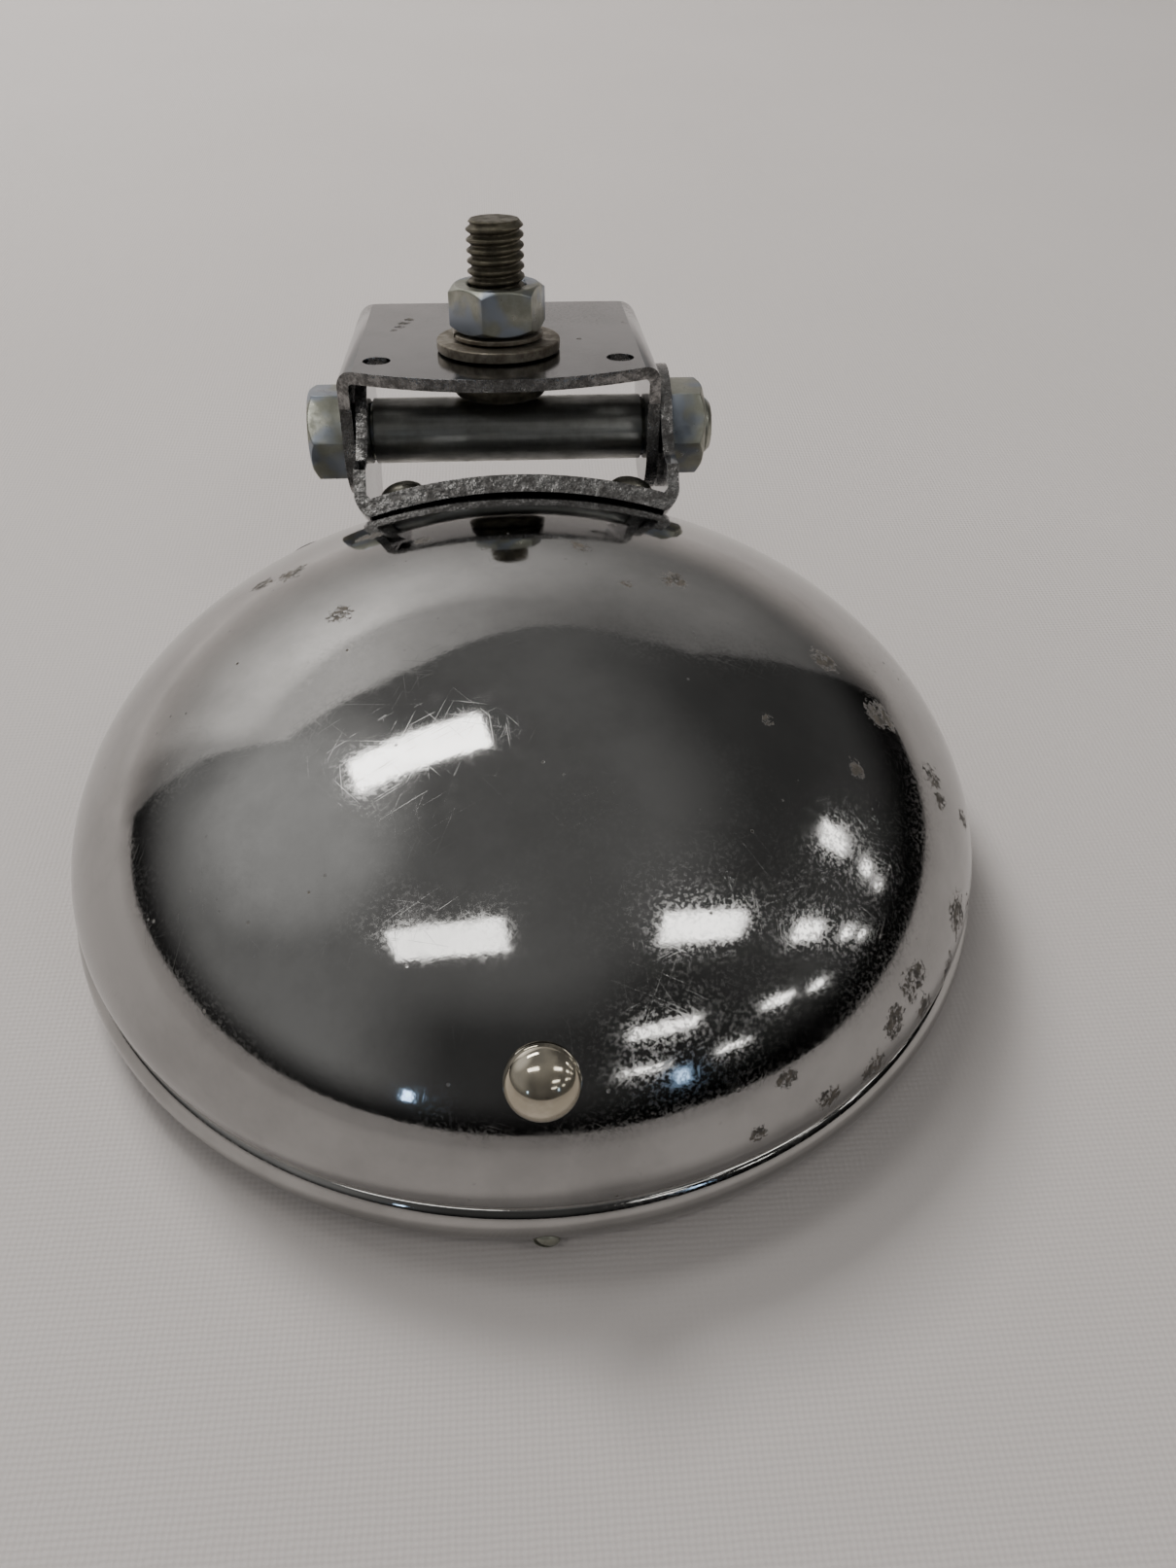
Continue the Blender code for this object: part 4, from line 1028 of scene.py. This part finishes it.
def stud_rings(under, thread_low, stud_end):
    """Rings of the round head, the shank from under up, and the thread with its chamfered end."""
    around = 60
    step = THREAD_PITCH / 12
    root = 0.14
    flank = 0.66
    turns = [2 * math.pi * i / around for i in range(around)]
    levels = in_mm([(1.6, 6.1), (4.0, 6.12), (6.2, 6.17), (7.0, 6.3), (7.6, 6.62), (8.0, 7.2), (8.2, 8.2), (8.2, 9.8),
                    (8.2, 11.0), (7.9, 11.3)])
    levels += [(BOLT_RADIUS, under), (BOLT_RADIUS - THREAD_DEPTH, thread_low - step)]
    rings = [[polar(radius, turn, z) for turn in turns] for radius, z in levels]
    for j in range(int((stud_end - thread_low) / step) + 1):
        z = thread_low + j * step
        end_radius = BOLT_RADIUS - max(0.0, z - (stud_end - 0.9 * MM)) * 0.85
        ring = []
        for i, turn in enumerate(turns):
            phase = (z / THREAD_PITCH - i / around) % 1.0
            crest = min(max((abs(2 * phase - 1) - root) / flank, 0.0), 1.0)
            ring.append(polar(min(BOLT_RADIUS - THREAD_DEPTH * (1 - crest), end_radius), turn, z))
        rings.append(ring)
    rings.append([polar(BOLT_RADIUS - 0.95 * MM, turn, stud_end) for turn in turns])
    return rings


def build_lock_washer(place, low, high):
    """Split ring whose two ends stand a little apart."""
    inner = BOLT_RADIUS + GAP
    outer = 7.6 * MM
    steps = 90
    start = math.radians(200)
    sweep = math.radians(352)
    rise = 0.12 * MM
    edge = 0.15 * MM
    rings = []
    for k in range(steps + 1):
        angle = start + sweep * k / steps
        base = low + rise * (k / steps)
        top = base + high - rise - low
        section = [(inner, base), (outer - edge, base), (outer, base + edge), (outer, top - edge), (outer - edge, top),
                   (inner, top)]
        rings.append([polar(radius, angle, z) for radius, z in section])
    ring = make_piece("lock_washer_split", loft(rings), WEATHERED, place)
    stands_for(ring, "stud", "weathered_steel", "stud_lock_washer")


# ---- pieces kept from the CAD -------------------------------------------
def dress_cad_nodes():
    kept = {"lens_seal_ring": RUBBER, "bezel_screw_nut": SPRING, "plug_spring_ring": SPRING}
    for part in ("filament_post", "terminal_post", "terminal_screw"):
        kept[part + "_left"] = kept[part + "_right"] = SPRING
    for number in range(1, 5):
        kept["retaining_clip_%d" % number] = SPRING
    for name, material in kept.items():
        for slot in frame["nodes"][name].material_slots:
            slot.material = material


# ---- floor, light and camera --------------------------------------------
def backdrop_elevation(azimuth):
    """How high the pale sheet rises in each direction, degrees; azimuth 0 is +Y, 90 is +X."""
    stops = ((-180, 5), (-150, 6), (-100, 6), (-80, 4), (-66, 5), (-60, 24), (-57, 40), (-49, 44), (-35, 48),
             (-23, 49), (-10, 47), (4, 44), (22, 43), (34, 40), (41, 31), (46, 20), (50, 4), (74, -1), (120, 0),
             (150, 4), (180, 5))
    for (low, low_value), (high, high_value) in zip(stops, stops[1:]):
        if azimuth <= high:
            share = (azimuth - low) / (high - low)
            return low_value + (high_value - low_value) * share
    return stops[-1][1]


def build_floor():
    """Level round sheet that curves up to the backdrop's height at its edge."""
    bm = bmesh.new()
    around = 180
    flat_radius = 0.75
    outer_radius = 1.30
    stations = [0.10, 0.2, 0.3, 0.4, 0.5, 0.62, flat_radius]
    stations += [flat_radius + (outer_radius - flat_radius) * k / 12 for k in range(1, 13)]
    centre = bm.verts.new((0, 0, 0))
    previous = None
    for radius in stations:
        ring = []
        share = max(0.0, (radius - flat_radius) / (outer_radius - flat_radius))
        for i in range(around):
            azimuth = -180 + 360 * i / around
            height = outer_radius * math.tan(math.radians(max(backdrop_elevation(azimuth), 0)))
            angle = math.radians(azimuth)
            ring.append(bm.verts.new((radius * math.sin(angle), radius * math.cos(angle), height * share ** 2)))
        for i in range(around):
            j = (i + 1) % around
            if previous is None:
                bm.faces.new((centre, ring[j], ring[i]))
            else:
                bm.faces.new((previous[i], previous[j], ring[j], ring[i]))
        previous = ring
    bmesh.ops.recalc_face_normals(bm, faces=bm.faces)
    floor = mesh_object("floor_sheet", bm)
    floor.data.shade_smooth()
    floor.data.materials.append(CLOTH)


def soft_panel(name, position, size, power, colour, target):
    """Rectangular studio light that faces a point."""
    light = bpy.data.lights.new(name, "AREA")
    light.shape = "RECTANGLE"
    light.size, light.size_y = size
    light.energy = power
    light.color = colour
    item = new_object(name, light)
    item.location = position
    item.rotation_euler = (Vector(target) - Vector(position)).to_track_quat("-Z", "Y").to_euler()
    return item


def build_lights():
    """Ceiling panels, two low bluish panels and a key that chrome doesn't mirror."""
    ceiling = 1.62
    far_power = 4.0
    panels = [(-0.57, 0.53, 12, 6.5), (-0.55, -0.82, 4, 3.4), (1.22, -0.78, 2, 4.0), (1.30, -2.15, 4, 4.0)]
    panels += [(x, y, 0, far_power) for x, y in ((2.95, 0.35), (2.95, -0.85), (3.4, -2.2), (4.7, 0.35), (4.9, -0.9),
                                                 (1.5, -3.5), (3.3, -3.5), (5.0, -2.2), (6.3, 0.3), (6.6, -1.0))]
    for number, (x, y, turn, power) in enumerate(panels, start=1):
        light = soft_panel("ceiling_panel_%d" % number, (x, y, ceiling), (0.78, 0.27), power, (1.0, 0.98, 0.95),
                           (x, y, 0))
        light.rotation_euler = (0, 0, math.radians(turn))

    low_target = Vector((0, 0, 0.04))
    low_distance = 2.2
    low_panels = ((150, 16, (0.11, 0.16)), (-153, 15, (0.07, 0.13)))
    for number, (azimuth, elevation, size) in enumerate(low_panels, start=1):
        angle = math.radians(azimuth)
        lift = math.radians(elevation)
        direction = Vector((math.cos(lift) * math.sin(angle), math.cos(lift) * math.cos(angle), math.sin(lift)))
        soft_panel("low_panel_%d" % number, low_target + low_distance * direction, size, 0.30, (0.45, 0.68, 1.0),
                   low_target)

    key = soft_panel("soft_key", (-0.45, 0.80, 1.05), (0.45, 0.35), 14.5, (1.0, 0.985, 0.96), (0, 0, 0))
    key.visible_glossy = False


def build_world():
    """Dim room: dark below, behind the camera and at the right, with a glow at the upper left."""
    world = bpy.data.worlds.new("studio")
    bpy.context.scene.world = world
    world.use_nodes = True
    n = Nodes(world.node_tree, "Generated")
    x, y, z = n.split()
    horizon = n.ramp(z, 0.10, 0.36, 0.08, 1.0)
    right = n.times(n.ramp(x, 0.05, 0.5, 0.0, 0.62), n.ramp(z, 0.72, 0.95, 1.0, 0.0))
    right = n.math("SUBTRACT", 1.0, right)
    left = n.ramp(x, -0.72, -0.25, 1.0, 0.0)
    back = n.times(n.ramp(y, -0.8, -0.35, 0.65, 0.0), n.ramp(z, 0.6, 0.9, 1.0, 0.0))
    back = n.math("SUBTRACT", 1.0, n.times(back, n.math("SUBTRACT", 1.0, left)))
    total = n.times(n.times(horizon, right), back)
    total = n.times(total, n.plus(1.0, n.times(left, 0.45)))
    glow = n.vector_math("DOT_PRODUCT", n.coords, (-0.677, 0.156, 0.720))
    total = n.plus(n.times(total, 0.20), n.ramp(glow, 0.88, 1.0, 0.0, 0.40))
    background = n.tree.nodes["Background"]
    n.put(background.inputs["Strength"], total)
    background.inputs["Color"].default_value = (1.0, 0.99, 0.97, 1.0)


def build_camera():
    """Camera at the lamp's front, about 44 degrees above it."""
    data = bpy.data.cameras.new("camera")
    data.sensor_width = 36.0
    data.lens = 28.08
    data.clip_start = 0.01
    data.clip_end = 20.0
    camera = new_object("camera", data)
    place = LAMP_CENTRE + DOME_RADIUS * Vector((-0.02496, -2.02159, 1.9701))
    forward = Vector((0.05837, 0.71961, -0.69192)).normalized()
    upward = Vector((0.03586, 0.69115, 0.72183))
    right = forward.cross(upward).normalized()
    upward = right.cross(forward)
    turn = Matrix((right, upward, -forward)).transposed().to_4x4()
    camera.matrix_world = Matrix.Translation(place) @ turn
    bpy.context.scene.camera = camera


for build in (build_shell, build_bezel, build_bezel_screw, build_plug, build_grommet, build_lens, build_reflector,
              build_filament, build_saddle, build_rivets, build_pivot, build_stud_bracket, build_stud,
              dress_cad_nodes, build_floor, build_lights, build_world, build_camera):
    build()
